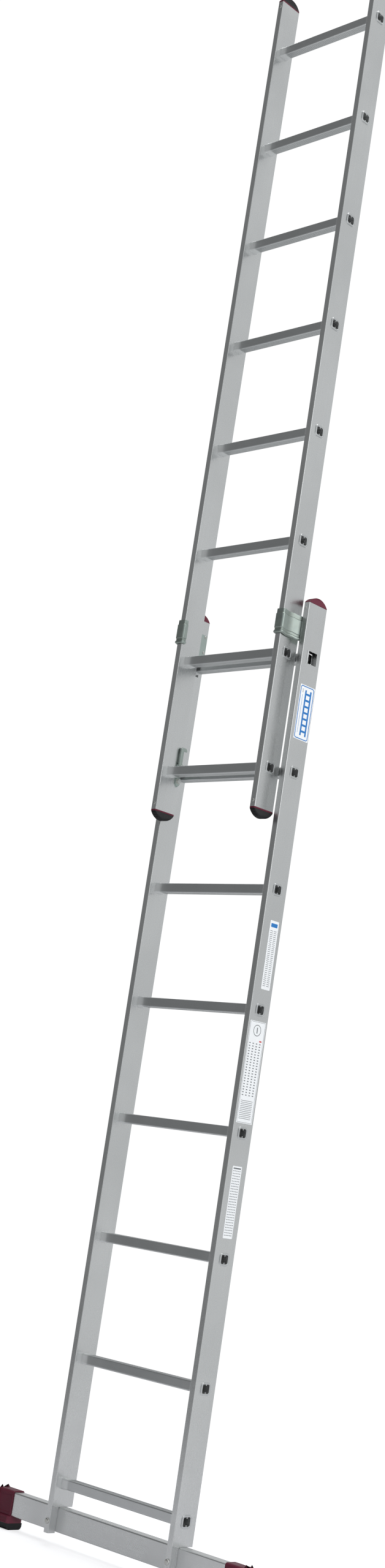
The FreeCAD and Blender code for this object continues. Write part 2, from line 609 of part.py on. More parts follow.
def guide_bracket(side):
    band_top = BRACKET_TOP_Z - BRACKET_BAND_BELOW_TOP
    solids = bracket_strap(side, BRACKET_SHEET, BRACKET_LOW_Z, BRACKET_TOP_Z)
    band = BRACKET_SHEET + BRACKET_BAND_PROUD
    solids += bracket_strap(side, band, band_top - BRACKET_BAND, band_top)
    roll = BRACKET_SHEET + BRACKET_ROLL_PROUD
    solids += bracket_strap(side, roll, BRACKET_LOW_Z, BRACKET_LOW_Z + BRACKET_ROLL)
    holes = []
    for z in bracket_rivet_heights():
        start = Vector(side * (BASE_INNER - BRACKET_SHEET - 3), BRACKET_RIVET_Y, z)
        end = Vector(side * (BASE_INNER + 1), BRACKET_RIVET_Y, z)
        holes.append(rod(RIVET_RADIUS + RIVET_FIT, start, end))
    return joined(solids).cut(holes)


def bracket_rivet(side, z):
    face_x = side * (BASE_INNER - BRACKET_SHEET)
    head_x = face_x - side * RIVET_HEAD
    tip_x = side * (BASE_INNER + STILE_WEB + 2.0)
    head = rod(RIVET_HEAD_RADIUS, Vector(head_x, BRACKET_RIVET_Y, z), Vector(face_x, BRACKET_RIVET_Y, z))
    rim = [edge for edge in head.Edges if abs(edge.CenterOfMass.x - head_x) < 1e-6]
    root = Vector(face_x - side * 0.2, BRACKET_RIVET_Y, z)
    shank = rod(RIVET_RADIUS, root, Vector(tip_x, BRACKET_RIVET_Y, z))
    return joined([head.makeFillet(RIVET_HEAD * 0.8, rim), shank])


# ---------------------------------------------------------------- locking hooks
def hook_plate(side):
    """Plate on the fly stile's inner face that carries the swinging hook."""
    top = PIVOT_Z + HOOK_PLATE_TOP
    low = HOOK_BOLT_Z - HOOK_PLATE_LOW
    shoulder = HOOK_BOLT_Z - HOOK_PLATE_LOW / 2
    front = PIVOT_Y - HOOK_PLATE_HALF
    back = PIVOT_Y + HOOK_PLATE_HALF - 1.0
    cut = HOOK_PLATE_CHAMFER
    outline = [(front, shoulder), (PIVOT_Y, low), (back, shoulder), (back, top - cut), (back - cut, top),
               (front + cut, top), (front, top - cut)]
    plate = side_plate(outline, side * (FLY_INNER - HOOK_PLATE_THICK), side * FLY_INNER)
    holes = []
    for z in (PIVOT_Z, HOOK_BOLT_Z):
        holes.append(rod(HOOK_PIN_RADIUS + BOLT_FIT, Vector(side * (FLY_INNER - 10), PIVOT_Y, z),
                         Vector(side * (FLY_INNER + 10), PIVOT_Y, z)))
    return plate.cut(holes)


def hook(side):
    """Swinging hook, drawn locked over the base rung and then turned to its open place."""
    face_x = FLY_INNER - HOOK_PLATE_THICK - HOOK_SIDE_GAP
    x0 = side * (face_x - HOOK_THICK)
    x1 = side * face_x
    rung_front = BASE_Y - RUNG_DEPTH / 2
    rung_back = BASE_Y + RUNG_DEPTH / 2
    rung_top = FLY_FIRST_Z + RUNG_HEIGHT / 2
    seat_z = rung_top + HOOK_SEAT_GAP
    throat_front = rung_front - HOOK_THROAT_GAP
    throat_back = rung_back + HOOK_THROAT_GAP
    nose_back = throat_back + HOOK_NOSE
    top_z = PIVOT_Z + HOOK_BOSS
    boss = rod(HOOK_BOSS, Vector(x0, PIVOT_Y, PIVOT_Z), Vector(x1, PIVOT_Y, PIVOT_Z))
    lip_z = rung_top - HOOK_LIP
    cut = HOOK_CHAMFER
    outline = [(PIVOT_Y, PIVOT_Z - HOOK_BOSS + 1), (throat_front - cut, PIVOT_Z - HOOK_BOSS + 3),
               (throat_front, seat_z), (throat_back, seat_z), (throat_back, lip_z),
               (nose_back - cut, lip_z), (nose_back, lip_z + cut),
               (nose_back, top_z - cut), (nose_back - cut, top_z), (PIVOT_Y, top_z)]
    arm = side_plate(outline, x0, x1)
    bore = rod(HOOK_PIN_RADIUS + HOOK_PIN_FIT, Vector(x0 - side, PIVOT_Y, PIVOT_Z),
               Vector(x1 + side, PIVOT_Y, PIVOT_Z))
    locked = joined([boss, arm]).cut(bore)
    locked.rotate(Vector(0, PIVOT_Y, PIVOT_Z), Vector(1, 0, 0), HOOK_OPEN_ANGLE)
    return locked


def hook_bolt(side, z, head_x):
    """A hexagon-head bolt through the stile's inner web to the nut in the hollow behind it."""
    shank_end = side * (FLY_INNER + STILE_WEB + NUT_HEIGHT + 1.5)
    shank = rod(HOOK_PIN_RADIUS, Vector(side * head_x, PIVOT_Y, z), Vector(shank_end, PIVOT_Y, z))
    washer_x = head_x - HOOK_WASHER
    washer = rod(HOOK_HEAD_RADIUS, Vector(side * washer_x, PIVOT_Y, z), Vector(side * head_x, PIVOT_Y, z))
    corners = []
    for step in range(6):
        angle = math.radians(60 * step)
        corners.append((PIVOT_Y + HOOK_HEX_RADIUS * math.cos(angle), z + HOOK_HEX_RADIUS * math.sin(angle)))
    head = side_plate(corners, side * washer_x, side * (washer_x - HOOK_HEAD))
    return joined([shank, washer, head])


def hook_nut(side, z):
    centre = Vector(side * (FLY_INNER + STILE_WEB), PIVOT_Y, z)
    return hex_nut(centre, (side, 0, 0), NUT_ACROSS_CORNERS / 2, HOOK_PIN_RADIUS + BOLT_FIT)


# ---------------------------------------------------------------- labels
def label(width, height, y_offset, above_rung, rung_number):
    """A thin sticker on the outer face of the base's right stile."""
    low = BASE_FIRST_Z + (rung_number - 1) * RUNG_PITCH + above_rung
    wire = cross_outline(width, height, LABEL_CORNER, BASE_HALF, BASE_Y + y_offset, low + height / 2)
    return Part.Face(wire).extrude(Vector(LABEL_THICK, 0, 0))


# ---------------------------------------------------------------- the whole ladder
def build():
    for name, side in SIDES.items():
        save("base_stile_" + name, base_stile(side))
        save("fly_stile_" + name, fly_stile(side))
        save("base_top_cap_" + name, base_top_cap(side))
        save("fly_top_plug_" + name, fly_cap_plug(side, FLY_TOP_Z, -1))
        save("fly_top_pad_" + name, fly_cap_rubber(side, FLY_TOP_Z, -1))
        save("fly_foot_plug_" + name, fly_cap_plug(side, FLY_BOTTOM_Z, 1))
        save("fly_foot_" + name, fly_cap_rubber(side, FLY_BOTTOM_Z, 1))
        save("crossbar_end_cap_" + name, crossbar_end_cap(side))
        save("crossbar_sole_" + name, crossbar_sole(side))
        save("guide_bracket_" + name, guide_bracket(side))
        save("hook_plate_" + name, hook_plate(side))
        save("locking_hook_" + name, hook(side))
    for number in range(1, RUNG_COUNT + 1):
        height = (number - 1) * RUNG_PITCH
        save("base_rung_%d" % number, rung(BASE_HALF, BASE_Y, BASE_FIRST_Z + height, number == RUNG_COUNT))
        save("fly_rung_%d" % number, rung(FLY_HALF, FLY_Y, FLY_FIRST_Z + height, False))
    save("base_crossbar", crossbar())
    save("crossbar_bolts", Part.makeCompound([crossbar_bolt(side) for side in SIDES.values()]))
    save("crossbar_nuts", Part.makeCompound([crossbar_nut(side) for side in SIDES.values()]))
    rivets = [bracket_rivet(side, z) for side in SIDES.values() for z in bracket_rivet_heights()]
    save("bracket_rivets", Part.makeCompound(rivets))
    base_x = BASE_HALF - STILE_WIDTH / 2
    fly_x = FLY_HALF - STILE_WIDTH / 2
    base_rivet_z = BASE_TOP_Z - CAP_RIVET_INSET
    fly_rivet_z = (FLY_BOTTOM_Z + CAP_RIVET_INSET, FLY_TOP_Z - CAP_RIVET_INSET)
    base_rivets = [front_rivet(side * base_x, BASE_FRONT_Y, base_rivet_z) for side in SIDES.values()]
    save("base_cap_rivets", Part.makeCompound(base_rivets))
    fly_rivets = [front_rivet(side * fly_x, FLY_FRONT_Y, z) for side in SIDES.values() for z in fly_rivet_z]
    save("fly_cap_rivets", Part.makeCompound(fly_rivets))
    pivot_head_x = FLY_INNER - HOOK_PLATE_THICK - HOOK_THICK - 2 * HOOK_SIDE_GAP
    plate_head_x = FLY_INNER - HOOK_PLATE_THICK
    pivot_bolts = [hook_bolt(side, PIVOT_Z, pivot_head_x) for side in SIDES.values()]
    save("hook_pivot_bolts", Part.makeCompound(pivot_bolts))
    plate_bolts = [hook_bolt(side, HOOK_BOLT_Z, plate_head_x) for side in SIDES.values()]
    save("hook_plate_bolts", Part.makeCompound(plate_bolts))
    nuts = [hook_nut(side, z) for side in SIDES.values() for z in (PIVOT_Z, HOOK_BOLT_Z)]
    save("hook_nuts", Part.makeCompound(nuts))
    for name, sizes in LABELS.items():
        save("label_" + name, label(*sizes))


build()
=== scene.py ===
import json
import math

import bmesh
import bpy
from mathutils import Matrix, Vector

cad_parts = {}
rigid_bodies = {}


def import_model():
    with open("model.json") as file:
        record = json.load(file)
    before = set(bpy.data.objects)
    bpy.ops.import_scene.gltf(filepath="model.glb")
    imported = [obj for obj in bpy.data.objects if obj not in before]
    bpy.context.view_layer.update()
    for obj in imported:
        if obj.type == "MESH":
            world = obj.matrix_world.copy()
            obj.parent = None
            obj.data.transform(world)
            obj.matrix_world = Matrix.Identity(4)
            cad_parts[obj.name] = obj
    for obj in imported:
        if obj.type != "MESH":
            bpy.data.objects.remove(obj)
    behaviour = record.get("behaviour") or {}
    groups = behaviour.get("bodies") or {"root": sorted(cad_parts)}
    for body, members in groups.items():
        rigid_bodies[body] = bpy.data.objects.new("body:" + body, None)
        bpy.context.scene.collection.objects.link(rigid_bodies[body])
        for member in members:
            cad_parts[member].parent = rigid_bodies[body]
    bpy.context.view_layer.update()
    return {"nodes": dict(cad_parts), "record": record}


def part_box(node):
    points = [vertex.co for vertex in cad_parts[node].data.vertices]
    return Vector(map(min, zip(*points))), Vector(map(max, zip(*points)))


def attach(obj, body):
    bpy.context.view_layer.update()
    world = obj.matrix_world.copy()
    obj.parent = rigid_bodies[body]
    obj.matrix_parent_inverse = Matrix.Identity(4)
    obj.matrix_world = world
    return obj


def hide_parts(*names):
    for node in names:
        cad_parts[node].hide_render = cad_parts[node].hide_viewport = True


bl_info = {
    "name": "Extension ladder looks",
    "version": (1, 0, 0),
    "blender": (4, 5, 0),
    "location": "3D View > Sidebar > Ladder",
    "description": "Finishes and detailed pieces for a two-section aluminium extension ladder",
    "category": "Object",
}

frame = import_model()

SIDES = ("left", "right")
MM = 0.001
SAME_PLACE = 0.01 * MM  # places closer than this count as one
# Near-black tone of the painted shade inside the hollow stile.
HOLLOW_SHADE_TONE = (0.035, 0.04, 0.038)
# The rung collars next to the stiles get a band of painted highlight between these two depths.
COLLAR_HIGHLIGHT_FROM, COLLAR_HIGHLIGHT_TO = 21.0 * MM, 15.0 * MM  # measured inwards from the stile's inner wall
finishes = {}


def corners(node):
    """The low and high corner of a CAD piece, in the frame."""
    return tuple(Vector(corner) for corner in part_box(node))


# ---------------------------------------------------------------- settings
class LadderColours(bpy.types.PropertyGroup):
    stile: bpy.props.FloatVectorProperty(
        name="Stiles", description="Tone of the extruded stiles and the crossbar",
        subtype="COLOR", size=3, min=0.0, max=1.0, default=(0.745, 0.755, 0.755))
    rung: bpy.props.FloatVectorProperty(
        name="Rungs", description="Tone of the grooved rungs",
        subtype="COLOR", size=3, min=0.0, max=1.0, default=(0.66, 0.675, 0.68))
    zinc: bpy.props.FloatVectorProperty(
        name="Zinc sheet", description="Tone of the pressed brackets, hooks and plates",
        subtype="COLOR", size=3, min=0.0, max=1.0, default=(0.37, 0.43, 0.41))
    fastener: bpy.props.FloatVectorProperty(
        name="Fasteners", description="Tone of the bolts, nuts and rivets",
        subtype="COLOR", size=3, min=0.0, max=1.0, default=(0.60, 0.61, 0.60))
    plastic: bpy.props.FloatVectorProperty(
        name="Plastic", description="Colour of the moulded caps and plugs",
        subtype="COLOR", size=3, min=0.0, max=1.0, default=(0.098, 0.009, 0.025))
    rubber: bpy.props.FloatVectorProperty(
        name="Rubber", description="Colour of the feet, pads and soles",
        subtype="COLOR", size=3, min=0.0, max=1.0, default=(0.009, 0.009, 0.010))
    film: bpy.props.FloatVectorProperty(
        name="Sticker film", description="Colour of the unprinted stickers",
        subtype="COLOR", size=3, min=0.0, max=1.0, default=(0.84, 0.86, 0.88))
    blue_ink: bpy.props.FloatVectorProperty(
        name="Blue ink", description="Colour of the stickers' borders and headers",
        subtype="COLOR", size=3, min=0.0, max=1.0, default=(0.01, 0.17, 0.50))
    dark_ink: bpy.props.FloatVectorProperty(
        name="Dark ink", description="Colour of the stickers' rows of marks",
        subtype="COLOR", size=3, min=0.0, max=1.0, default=(0.16, 0.17, 0.18))
    red_ink: bpy.props.FloatVectorProperty(
        name="Red ink", description="Colour of the one small red mark",
        subtype="COLOR", size=3, min=0.0, max=1.0, default=(0.55, 0.03, 0.03))


class LadderSizes(bpy.types.PropertyGroup):
    bead_width: bpy.props.FloatProperty(
        name="Bead width", description="Width of the rolled bead round each rung end",
        default=4.7 * MM, min=1.0 * MM, max=6.0 * MM, unit="LENGTH")
    bead_height: bpy.props.FloatProperty(
        name="Bead height", description="How far the bead stands off the stile",
        default=2.1 * MM, min=1.0 * MM, max=4.0 * MM, unit="LENGTH")
    rib_depth: bpy.props.FloatProperty(
        name="Rib depth", description="Depth of the grooves across the rubber feet",
        default=0.9 * MM, min=0.2 * MM, max=2.0 * MM, unit="LENGTH")
    sheet: bpy.props.FloatProperty(
        name="Bracket sheet", description="Thickness of the guide brackets' sheet",
        default=2.5 * MM, min=1.0 * MM, max=4.0 * MM, unit="LENGTH")
    print_height: bpy.props.FloatProperty(
        name="Print height", description="Thickness of the ink on the stickers",
        default=0.06 * MM, min=0.02 * MM, max=0.2 * MM, unit="LENGTH")


class LadderStage(bpy.types.PropertyGroup):
    room_bright: bpy.props.FloatProperty(
        name="Bright side", description="Light from behind the ladder on the right",
        default=0.62, min=0.0, max=4.0)
    room_dark: bpy.props.FloatProperty(
        name="Dark side", description="Light from the front of the ladder on the left",
        default=0.20, min=0.0, max=4.0)
    key_power: bpy.props.FloatProperty(
        name="Key light", description="Power of the large soft light at the front right",
        default=42.0, min=0.0, max=2000.0, unit="POWER")
    top_power: bpy.props.FloatProperty(
        name="Top light", description="Power of the soft light overhead",
        default=150.0, min=0.0, max=2000.0, unit="POWER")
    fill_power: bpy.props.FloatProperty(
        name="Fill light", description="Power of the fill that lights stickers and plastic but not the metal",
        default=150.0, min=0.0, max=2000.0, unit="POWER")
    floor_radius: bpy.props.FloatProperty(
        name="Floor", description="Radius of the pale floor, which fades out at its edge",
        default=3.2, min=1.0, max=10.0, unit="LENGTH")
    lens: bpy.props.FloatProperty(
        name="Lens", description="Focal length of the camera in millimetres",
        default=44.817, min=10.0, max=200.0)


# ---------------------------------------------------------------- material nodes
class Graph:
    """Wires the nodes of one finish."""

    def __init__(self, name, rough, metal=0.0):
        self.material = bpy.data.materials.new(name)
        self.material.use_nodes = True
        self.tree = self.material.node_tree
        self.surface = self.tree.nodes["Principled BSDF"]
        self.surface.inputs["Roughness"].default_value = rough
        self.surface.inputs["Metallic"].default_value = metal

    def node(self, kind, **settings):
        made = self.tree.nodes.new("ShaderNode" + kind)
        for key, value in settings.items():
            setattr(made, key, value)
        return made

    def link(self, source, target):
        self.tree.links.new(source, target)

    def place(self, scale=(1.0, 1.0, 1.0)):
        """The piece's own coordinates, stretched so that marks run the way they should."""
        coords = self.node("TexCoord")
        mapping = self.node("Mapping")
        mapping.inputs["Scale"].default_value = scale
        self.link(coords.outputs["Object"], mapping.inputs["Vector"])
        return mapping.outputs["Vector"]

    def pattern(self, kind, place, output, values, **settings):
        """A texture whose sockets hold the given values."""
        made = self.node(kind, **settings)
        for name, number in values.items():
            made.inputs[name].default_value = number
        self.link(place, made.inputs["Vector"])
        return made.outputs[output]

    def noise(self, place, scale, detail=2.0, rough=0.5):
        return self.pattern("TexNoise", place, "Fac", {"Scale": scale, "Detail": detail, "Roughness": rough})

    def spots(self, place, scale):
        return self.pattern("TexVoronoi", place, "Distance", {"Scale": scale}, feature="F1")

    def remap(self, value, low_in, high_in, low, high):
        made = self.node("MapRange")
        for socket, number in zip(("From Min", "From Max", "To Min", "To Max"), (low_in, high_in, low, high)):
            made.inputs[socket].default_value = number
        self.link(value, made.inputs["Value"])
        return made.outputs["Result"]

    def math(self, operation, first, second):
        made = self.node("Math", operation=operation)
        self.link(first, made.inputs[0])
        if isinstance(second, (int, float)):
            made.inputs[1].default_value = second
        else:
            self.link(second, made.inputs[1])
        return made.outputs[0]

    def tint(self, factor, first, second):
        made = self.node("Mix", data_type="RGBA")
        self.link(factor, made.inputs[0])
        for value, socket in ((first, made.inputs[6]), (second, made.inputs[7])):
            if isinstance(value, (tuple, list)):
                socket.default_value = (*value, 1.0)
            else:
                self.link(value, socket)
        return made.outputs[2]

    def relief(self, height, strength, distance, below=None):
        made = self.node("Bump")
        made.inputs["Strength"].default_value = strength
        made.inputs["Distance"].default_value = distance
        self.link(height, made.inputs["Height"])
        if below is not None:
            self.link(below, made.inputs["Normal"])
        return made.outputs["Normal"]

    def paint(self, colour, rough, normal):
        for value, socket in ((colour, "Base Color"), (rough, "Roughness"), (normal, "Normal")):
            self.link(value, self.surface.inputs[socket])
        return self.material


def shade(colour, factor):
    return tuple(min(1.0, channel * factor) for channel in colour)


def worn_edges(graph, low=0.505, high=0.56):
    """How sharp an edge is, from 0 on flat ground to 1 on a rubbed corner."""
    geometry = graph.node("NewGeometry")
    return graph.remap(geometry.outputs["Pointiness"], low, high, 0.0, 1.0)


def shade_in_recesses(graph, tone, dark, reach):
    """Darkens a finish as painted shade inside sockets, hollow ends and tight corners, where ambient
    occlusion finds surfaces close by.
    """
    closed, open_air = 0.03, 0.3
    open_sky = graph.node("AmbientOcclusion", samples=4)
    open_sky.inputs["Distance"].default_value = reach
    factor = graph.remap(open_sky.outputs["AO"], closed, open_air, 0.0, 1.0)
    return graph.tint(factor, dark, tone)


def drawn_out(along, across, lengthwise):
    """Pattern scales that differ along one axis, so that marks run with it or across it."""
    scale = [across] * 3
    scale["XYZ".index(along)] = lengthwise
    return scale


def extruded_aluminium(name, colour, along, rough, collar_highlight=None):
    """Mill-finished extrusion: fine grain and faint die lines along its length, cloudy tone, small scuffs;
    painted shade in recesses and, where asked, a painted highlight on the rung collars.
    """
    graph = Graph(name, rough, 1.0)
    grain = graph.noise(graph.place(drawn_out(along, 1500.0, 7.0)), 1.0, 3.0, 0.6)
    die_lines = graph.noise(graph.place(drawn_out(along, 190.0, 0.35)), 1.0, 2.0, 0.7)
    clouds = graph.noise(graph.place(), 3.2, 3.0, 0.55)
    smears = graph.noise(graph.place((6.0, 6.0, 6.0)), 2.5, 4.0, 0.65)
    marks = graph.noise(graph.place(drawn_out(along, 90.0, 420.0)), 1.0, 4.0, 0.7)
    scuffs = graph.remap(marks, 0.66, 0.74, 0.0, 1.0)
    base = graph.tint(graph.remap(clouds, 0.35, 0.65, 0.0, 1.0), shade(colour, 0.93), shade(colour, 1.04))
    lined = graph.tint(graph.remap(die_lines, 0.3, 0.7, 0.0, 0.3), base, shade(colour, 0.93))
    toned = graph.tint(graph.remap(grain, 0.3, 0.75, 0.0, 0.12), lined, shade(colour, 1.05))
    scuffed = graph.tint(graph.math("MULTIPLY", scuffs, 0.12), toned, shade(colour, 1.15))
    gloss = graph.remap(grain, 0.25, 0.75, rough - 0.03, rough + 0.04)
    gloss = graph.math("ADD", gloss, graph.remap(smears, 0.45, 0.75, 0.0, 0.09))
    gloss = graph.math("ADD", gloss, graph.math("MULTIPLY", scuffs, 0.06))
    # Painted highlight: the rung collars next to the stiles are lightened and made rougher; scuffed then
    # carries this highlight as well as the scuffs.
    if collar_highlight:
        apart = graph.node("SeparateXYZ")
        graph.link(graph.place(), apart.inputs["Vector"])
        from_middle = graph.math("ABSOLUTE", apart.outputs["X"], 0.0)
        pressed = graph.remap(from_middle, *collar_highlight, 0.0, 1.0)
        scuffed = graph.tint(graph.math("MULTIPLY", pressed, 0.8), scuffed, shade(colour, 1.5))
        gloss = graph.math("ADD", gloss, graph.math("MULTIPLY", pressed, 0.12))
    # painted shade: the finish darkens towards near-black in sockets, hollow ends and corners
    recess_shaded = shade_in_recesses(graph, scuffed, shade(colour, 0.06), 14.0 * MM)
    lines = graph.relief(die_lines, 0.02, 0.3 * MM)
    return graph.paint(recess_shaded, gloss, graph.relief(grain, 0.008, 0.05 * MM, lines))


def sawn_metal(name, colour, rough):
    """Painted shade: a dull, near-black finish for the end and inside of a tube that lies deep inside the
    hollow stile.
    """
    graph = Graph(name, rough, 1.0)
    strokes = graph.noise(graph.place((300.0, 40.0, 900.0)), 1.0, 3.0, 0.6)
    shade_mottle = graph.noise(graph.place(), 90.0, 4.0, 0.6)
    tone = graph.tint(graph.remap(shade_mottle, 0.3, 0.7, 0.0, 1.0), shade(colour, 0.7), shade(colour, 1.4))
    gloss = graph.remap(strokes, 0.3, 0.7, rough - 0.08, rough + 0.1)
    return graph.paint(tone, gloss, graph.relief(strokes, 0.3, 0.1 * MM))


def zinc_sheet(name, colour, rough):
    """Bright zinc with a passivated greenish bloom, faint spangle, handling marks and rubbed edges."""
    graph = Graph(name, rough, 1.0)
    distance = graph.spots(graph.place(), 260.0)
    bloom = graph.noise(graph.place(), 42.0, 4.0, 0.6)
    speckle = graph.noise(graph.place(), 1900.0, 2.0, 0.5)
    tone = graph.tint(graph.remap(bloom, 0.3, 0.7, 0.0, 1.0), shade(colour, 0.82), shade(colour, 1.12))
    warm = (colour[0] * 1.12, colour[1] * 1.02, colour[2] * 0.86)
    tone = graph.tint(graph.remap(distance, 0.0, 0.7, 0.0, 0.3), tone, warm)
    tone = graph.tint(graph.math("MULTIPLY", worn_edges(graph), 0.7), tone, shade(colour, 1.45))
    gloss = graph.remap(bloom, 0.3, 0.7, rough - 0.07, rough + 0.09)
    relief = graph.relief(speckle, 0.12, 0.05 * MM)
    return graph.paint(tone, gloss, graph.relief(distance, 0.05, 0.1 * MM, relief))


def moulded_plastic(name, colour, rough):
    """Satin moulded plastic with a fine spark-eroded texture and scuffed, paler edges."""
    graph = Graph(name, rough)
    graph.surface.inputs["IOR"].default_value = 1.49
    graph.surface.inputs["Specular IOR Level"].default_value = 0.3
    texture = graph.noise(graph.place(), 2600.0, 2.0, 0.5)
    flow = graph.noise(graph.place(), 28.0, 4.0, 0.6)
    dust = graph.remap(graph.noise(graph.place(), 160.0, 5.0, 0.75), 0.58, 0.74, 0.0, 0.12)
    tone = graph.tint(graph.remap(flow, 0.3, 0.7, 0.0, 1.0), shade(colour, 0.86), shade(colour, 1.12))
    tone = graph.tint(dust, tone, tuple(0.75 * channel + 0.06 for channel in colour))
    rubbed = graph.math("MULTIPLY", worn_edges(graph, 0.51, 0.58), 0.45)
    tone = graph.tint(rubbed, tone, tuple(channel * 1.5 + 0.03 for channel in colour))
    gloss = graph.remap(flow, 0.3, 0.7, rough - 0.05, rough + 0.09)
    return graph.paint(tone, gloss, graph.relief(texture, 0.22, 0.04 * MM))


def moulded_rubber(name, colour, rough):
    """Matt black rubber with a pebbled skin, pale dust and grey scuffed edges."""
    graph = Graph(name, rough)
    graph.surface.inputs["Specular IOR Level"].default_value = 0.25
    pebble = graph.noise(graph.place(), 1300.0, 3.0, 0.6)
    patches = graph.noise(graph.place(), 55.0, 5.0, 0.65)
    tone = graph.tint(graph.remap(patches, 0.35, 0.7, 0.0, 1.0), colour, shade(colour, 1.7))
    rubbed = graph.math("MULTIPLY", worn_edges(graph, 0.53, 0.62), 0.3)
    tone = graph.tint(rubbed, tone, (0.06, 0.06, 0.06))
    gloss = graph.remap(patches, 0.3, 0.7, rough - 0.12, rough + 0.12)
    return graph.paint(tone, gloss, graph.relief(pebble, 0.35, 0.08 * MM))


def sticker_film(name, colour, rough):
    """Glossy laminated film with faint unevenness from its adhesive."""
    graph = Graph(name, rough)
    ripple = graph.noise(graph.place(), 120.0, 2.0, 0.5)
    soil = graph.noise(graph.place(), 30.0, 5.0, 0.7)
    tone = graph.tint(graph.remap(soil, 0.45, 0.75, 0.0, 0.5), colour, shade(colour, 0.88))
    gloss = graph.remap(soil, 0.3, 0.7, rough - 0.05, rough + 0.12)
    return graph.paint(tone, gloss, graph.relief(ripple, 0.08, 0.1 * MM))


# ---------------------------------------------------------------- modelling by hand
def deselect_everything():
    for obj in bpy.context.scene.objects:
        obj.select_set(False)


def take_up(piece):
    deselect_everything()
    piece.select_set(True)
    bpy.context.view_layer.objects.active = piece


def settle(piece):
    """Puts a piece's place, turn and size into its mesh."""
    take_up(piece)
    bpy.ops.object.transform_apply(location=True, rotation=True, scale=True)
    return piece


def named(piece, name):
    piece.name = name
    piece.data.name = name
    return piece


def block(name, low, high):
    """A block between two corners, ready to be shaped."""
    deselect_everything()
    low, high = Vector(low), Vector(high)
    bpy.ops.mesh.primitive_cube_add(size=1.0, location=(low + high) / 2, scale=high - low)
    return settle(named(bpy.context.active_object, name))


class Shaping:
    """Edit mode on one piece, left again at the end."""

    def __init__(self, piece):
        self.piece = piece

    def __enter__(self):
        take_up(self.piece)
        bpy.ops.object.mode_set(mode="EDIT")
        bpy.ops.mesh.select_all(action="DESELECT")
        return self

    def __exit__(self, *error):
        bpy.ops.object.mode_set(mode="OBJECT")

    def _pick(self, kind, test):
        bpy.ops.mesh.select_mode(type=kind)
        bpy.ops.mesh.select_all(action="DESELECT")
        mesh = bmesh.from_edit_mesh(self.piece.data)
        mesh.normal_update()
        found = [part for part in (mesh.faces if kind == "FACE" else mesh.edges) if test(part)]
        if not found:
            raise RuntimeError("nothing to select on " + self.piece.name)
        for part in found:
            part.select_set(True)
        bmesh.update_edit_mesh(self.piece.data)

    def faces(self, test):
        self._pick("FACE", test)

    def edges(self, test):
        self._pick("EDGE", test)

    def everything(self):
        bpy.ops.mesh.select_all(action="SELECT")

    def round_edges(self, test, offset, segments):
        self.edges(test)
        bpy.ops.mesh.bevel(offset=offset, segments=segments, affect="EDGES", clamp_overlap=True)

    def inset(self, width, depth=0.0):
        bpy.ops.mesh.inset(thickness=width, depth=depth, use_even_offset=True)

    def push(self, distance):
        bpy.ops.mesh.extrude_region_shrink_fatten(TRANSFORM_OT_shrink_fatten={"value": distance})

    def cut(self, point, normal, keep="both"):
        """Cuts the whole piece with a plane; keep is both, front or behind."""
        self.everything()
        bpy.ops.mesh.bisect(plane_co=point, plane_no=normal, use_fill=keep != "both",
                            clear_inner=keep == "front", clear_outer=keep == "behind")

    def outward(self):
        self.everything()
        bpy.ops.mesh.normals_make_consistent(inside=False)


def middle(edge):
    return (edge.verts[0].co + edge.verts[1].co) / 2


def runs(edge, axis):
    """True where an edge runs along an axis."""
    step = edge.verts[1].co - edge.verts[0].co
    return abs(step[axis]) > 0.999 * step.length


def faces_way(face, axis, sign):
    return face.normal[axis] * sign > 0.99


def modified(piece, kind, **settings):
    """Adds one modifier and applies it at once."""
    take_up(piece)
    modifier = piece.modifiers.new(kind.lower(), kind)
    for key, value in settings.items():
        setattr(modifier, key, value)
    bpy.ops.object.modifier_apply(modifier=modifier.name)
    return piece


def join_up(name, pieces):
    deselect_everything()
    for piece in pieces:
        piece.select_set(True)
    bpy.context.view_layer.objects.active = pieces[0]
    if len(pieces) > 1:
        bpy.ops.object.join()
    return named(pieces[0], name)


def copy_by(piece, name, offset):
    """Another of the same piece with its own mesh, moved by offset."""
    take_up(piece)
    bpy.ops.object.duplicate(linked=False)
    other = named(bpy.context.active_object, name)
    bpy.ops.transform.translate(value=offset)
    return settle(other)


def mirrored_copy(piece, name):
    """The same piece for the other side of the ladder."""
    take_up(piece)
    bpy.ops.object.duplicate(linked=False)
    other = named(bpy.context.active_object, name)
    other.scale.x = -1.0
    settle(other)
    with Shaping(other) as work:
        work.outward()
    return other


def finished(piece, slot, body, *nodes, angle=32.0, look=None):
    """Gives a piece its finish, smooth shading and the body it rides on."""
    take_up(piece)
    if slot:
        piece.data.materials.clear()
        piece.data.materials.append(finishes[look or slot])
    bpy.ops.object.shade_smooth_by_angle(angle=math.radians(angle))
    modified(piece, "WEIGHTED_NORMAL", keep_sharp=True)
    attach(piece, body)
    if nodes:
        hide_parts(*nodes)
    return piece


def both_sides(right, slot, body, node=None, look=None):
    """Finishes a right-hand piece and its mirror image on the left."""
    left = mirrored_copy(right, right.name.removesuffix("right") + "left")
    for side, piece in (("right", right), ("left", left)):
        nodes = ["%s_%s" % (node, side)] if node else []
        finished(piece, slot, body, *nodes, look=look)


def softened_copy(name, node, width, segments=2):
    """A copy of a CAD piece whose sharp edges are broken."""
    piece = bpy.data.objects.new(name, frame["nodes"][node].data.copy())
    bpy.context.scene.collection.objects.link(piece)
    take_up(piece)
    bpy.ops.mesh.customdata_custom_splitnormals_clear()
    with Shaping(piece) as work:
        work.everything()
        bpy.ops.mesh.remove_doubles(threshold=0.002 * MM)
        work.everything()
        bpy.ops.mesh.dissolve_limited(angle_limit=math.radians(0.5))
    modified(piece, "BEVEL", width=width, segments=segments, limit_method="ANGLE",
             angle_limit=math.radians(38.0), use_clamp_overlap=True)
    return named(piece, name)


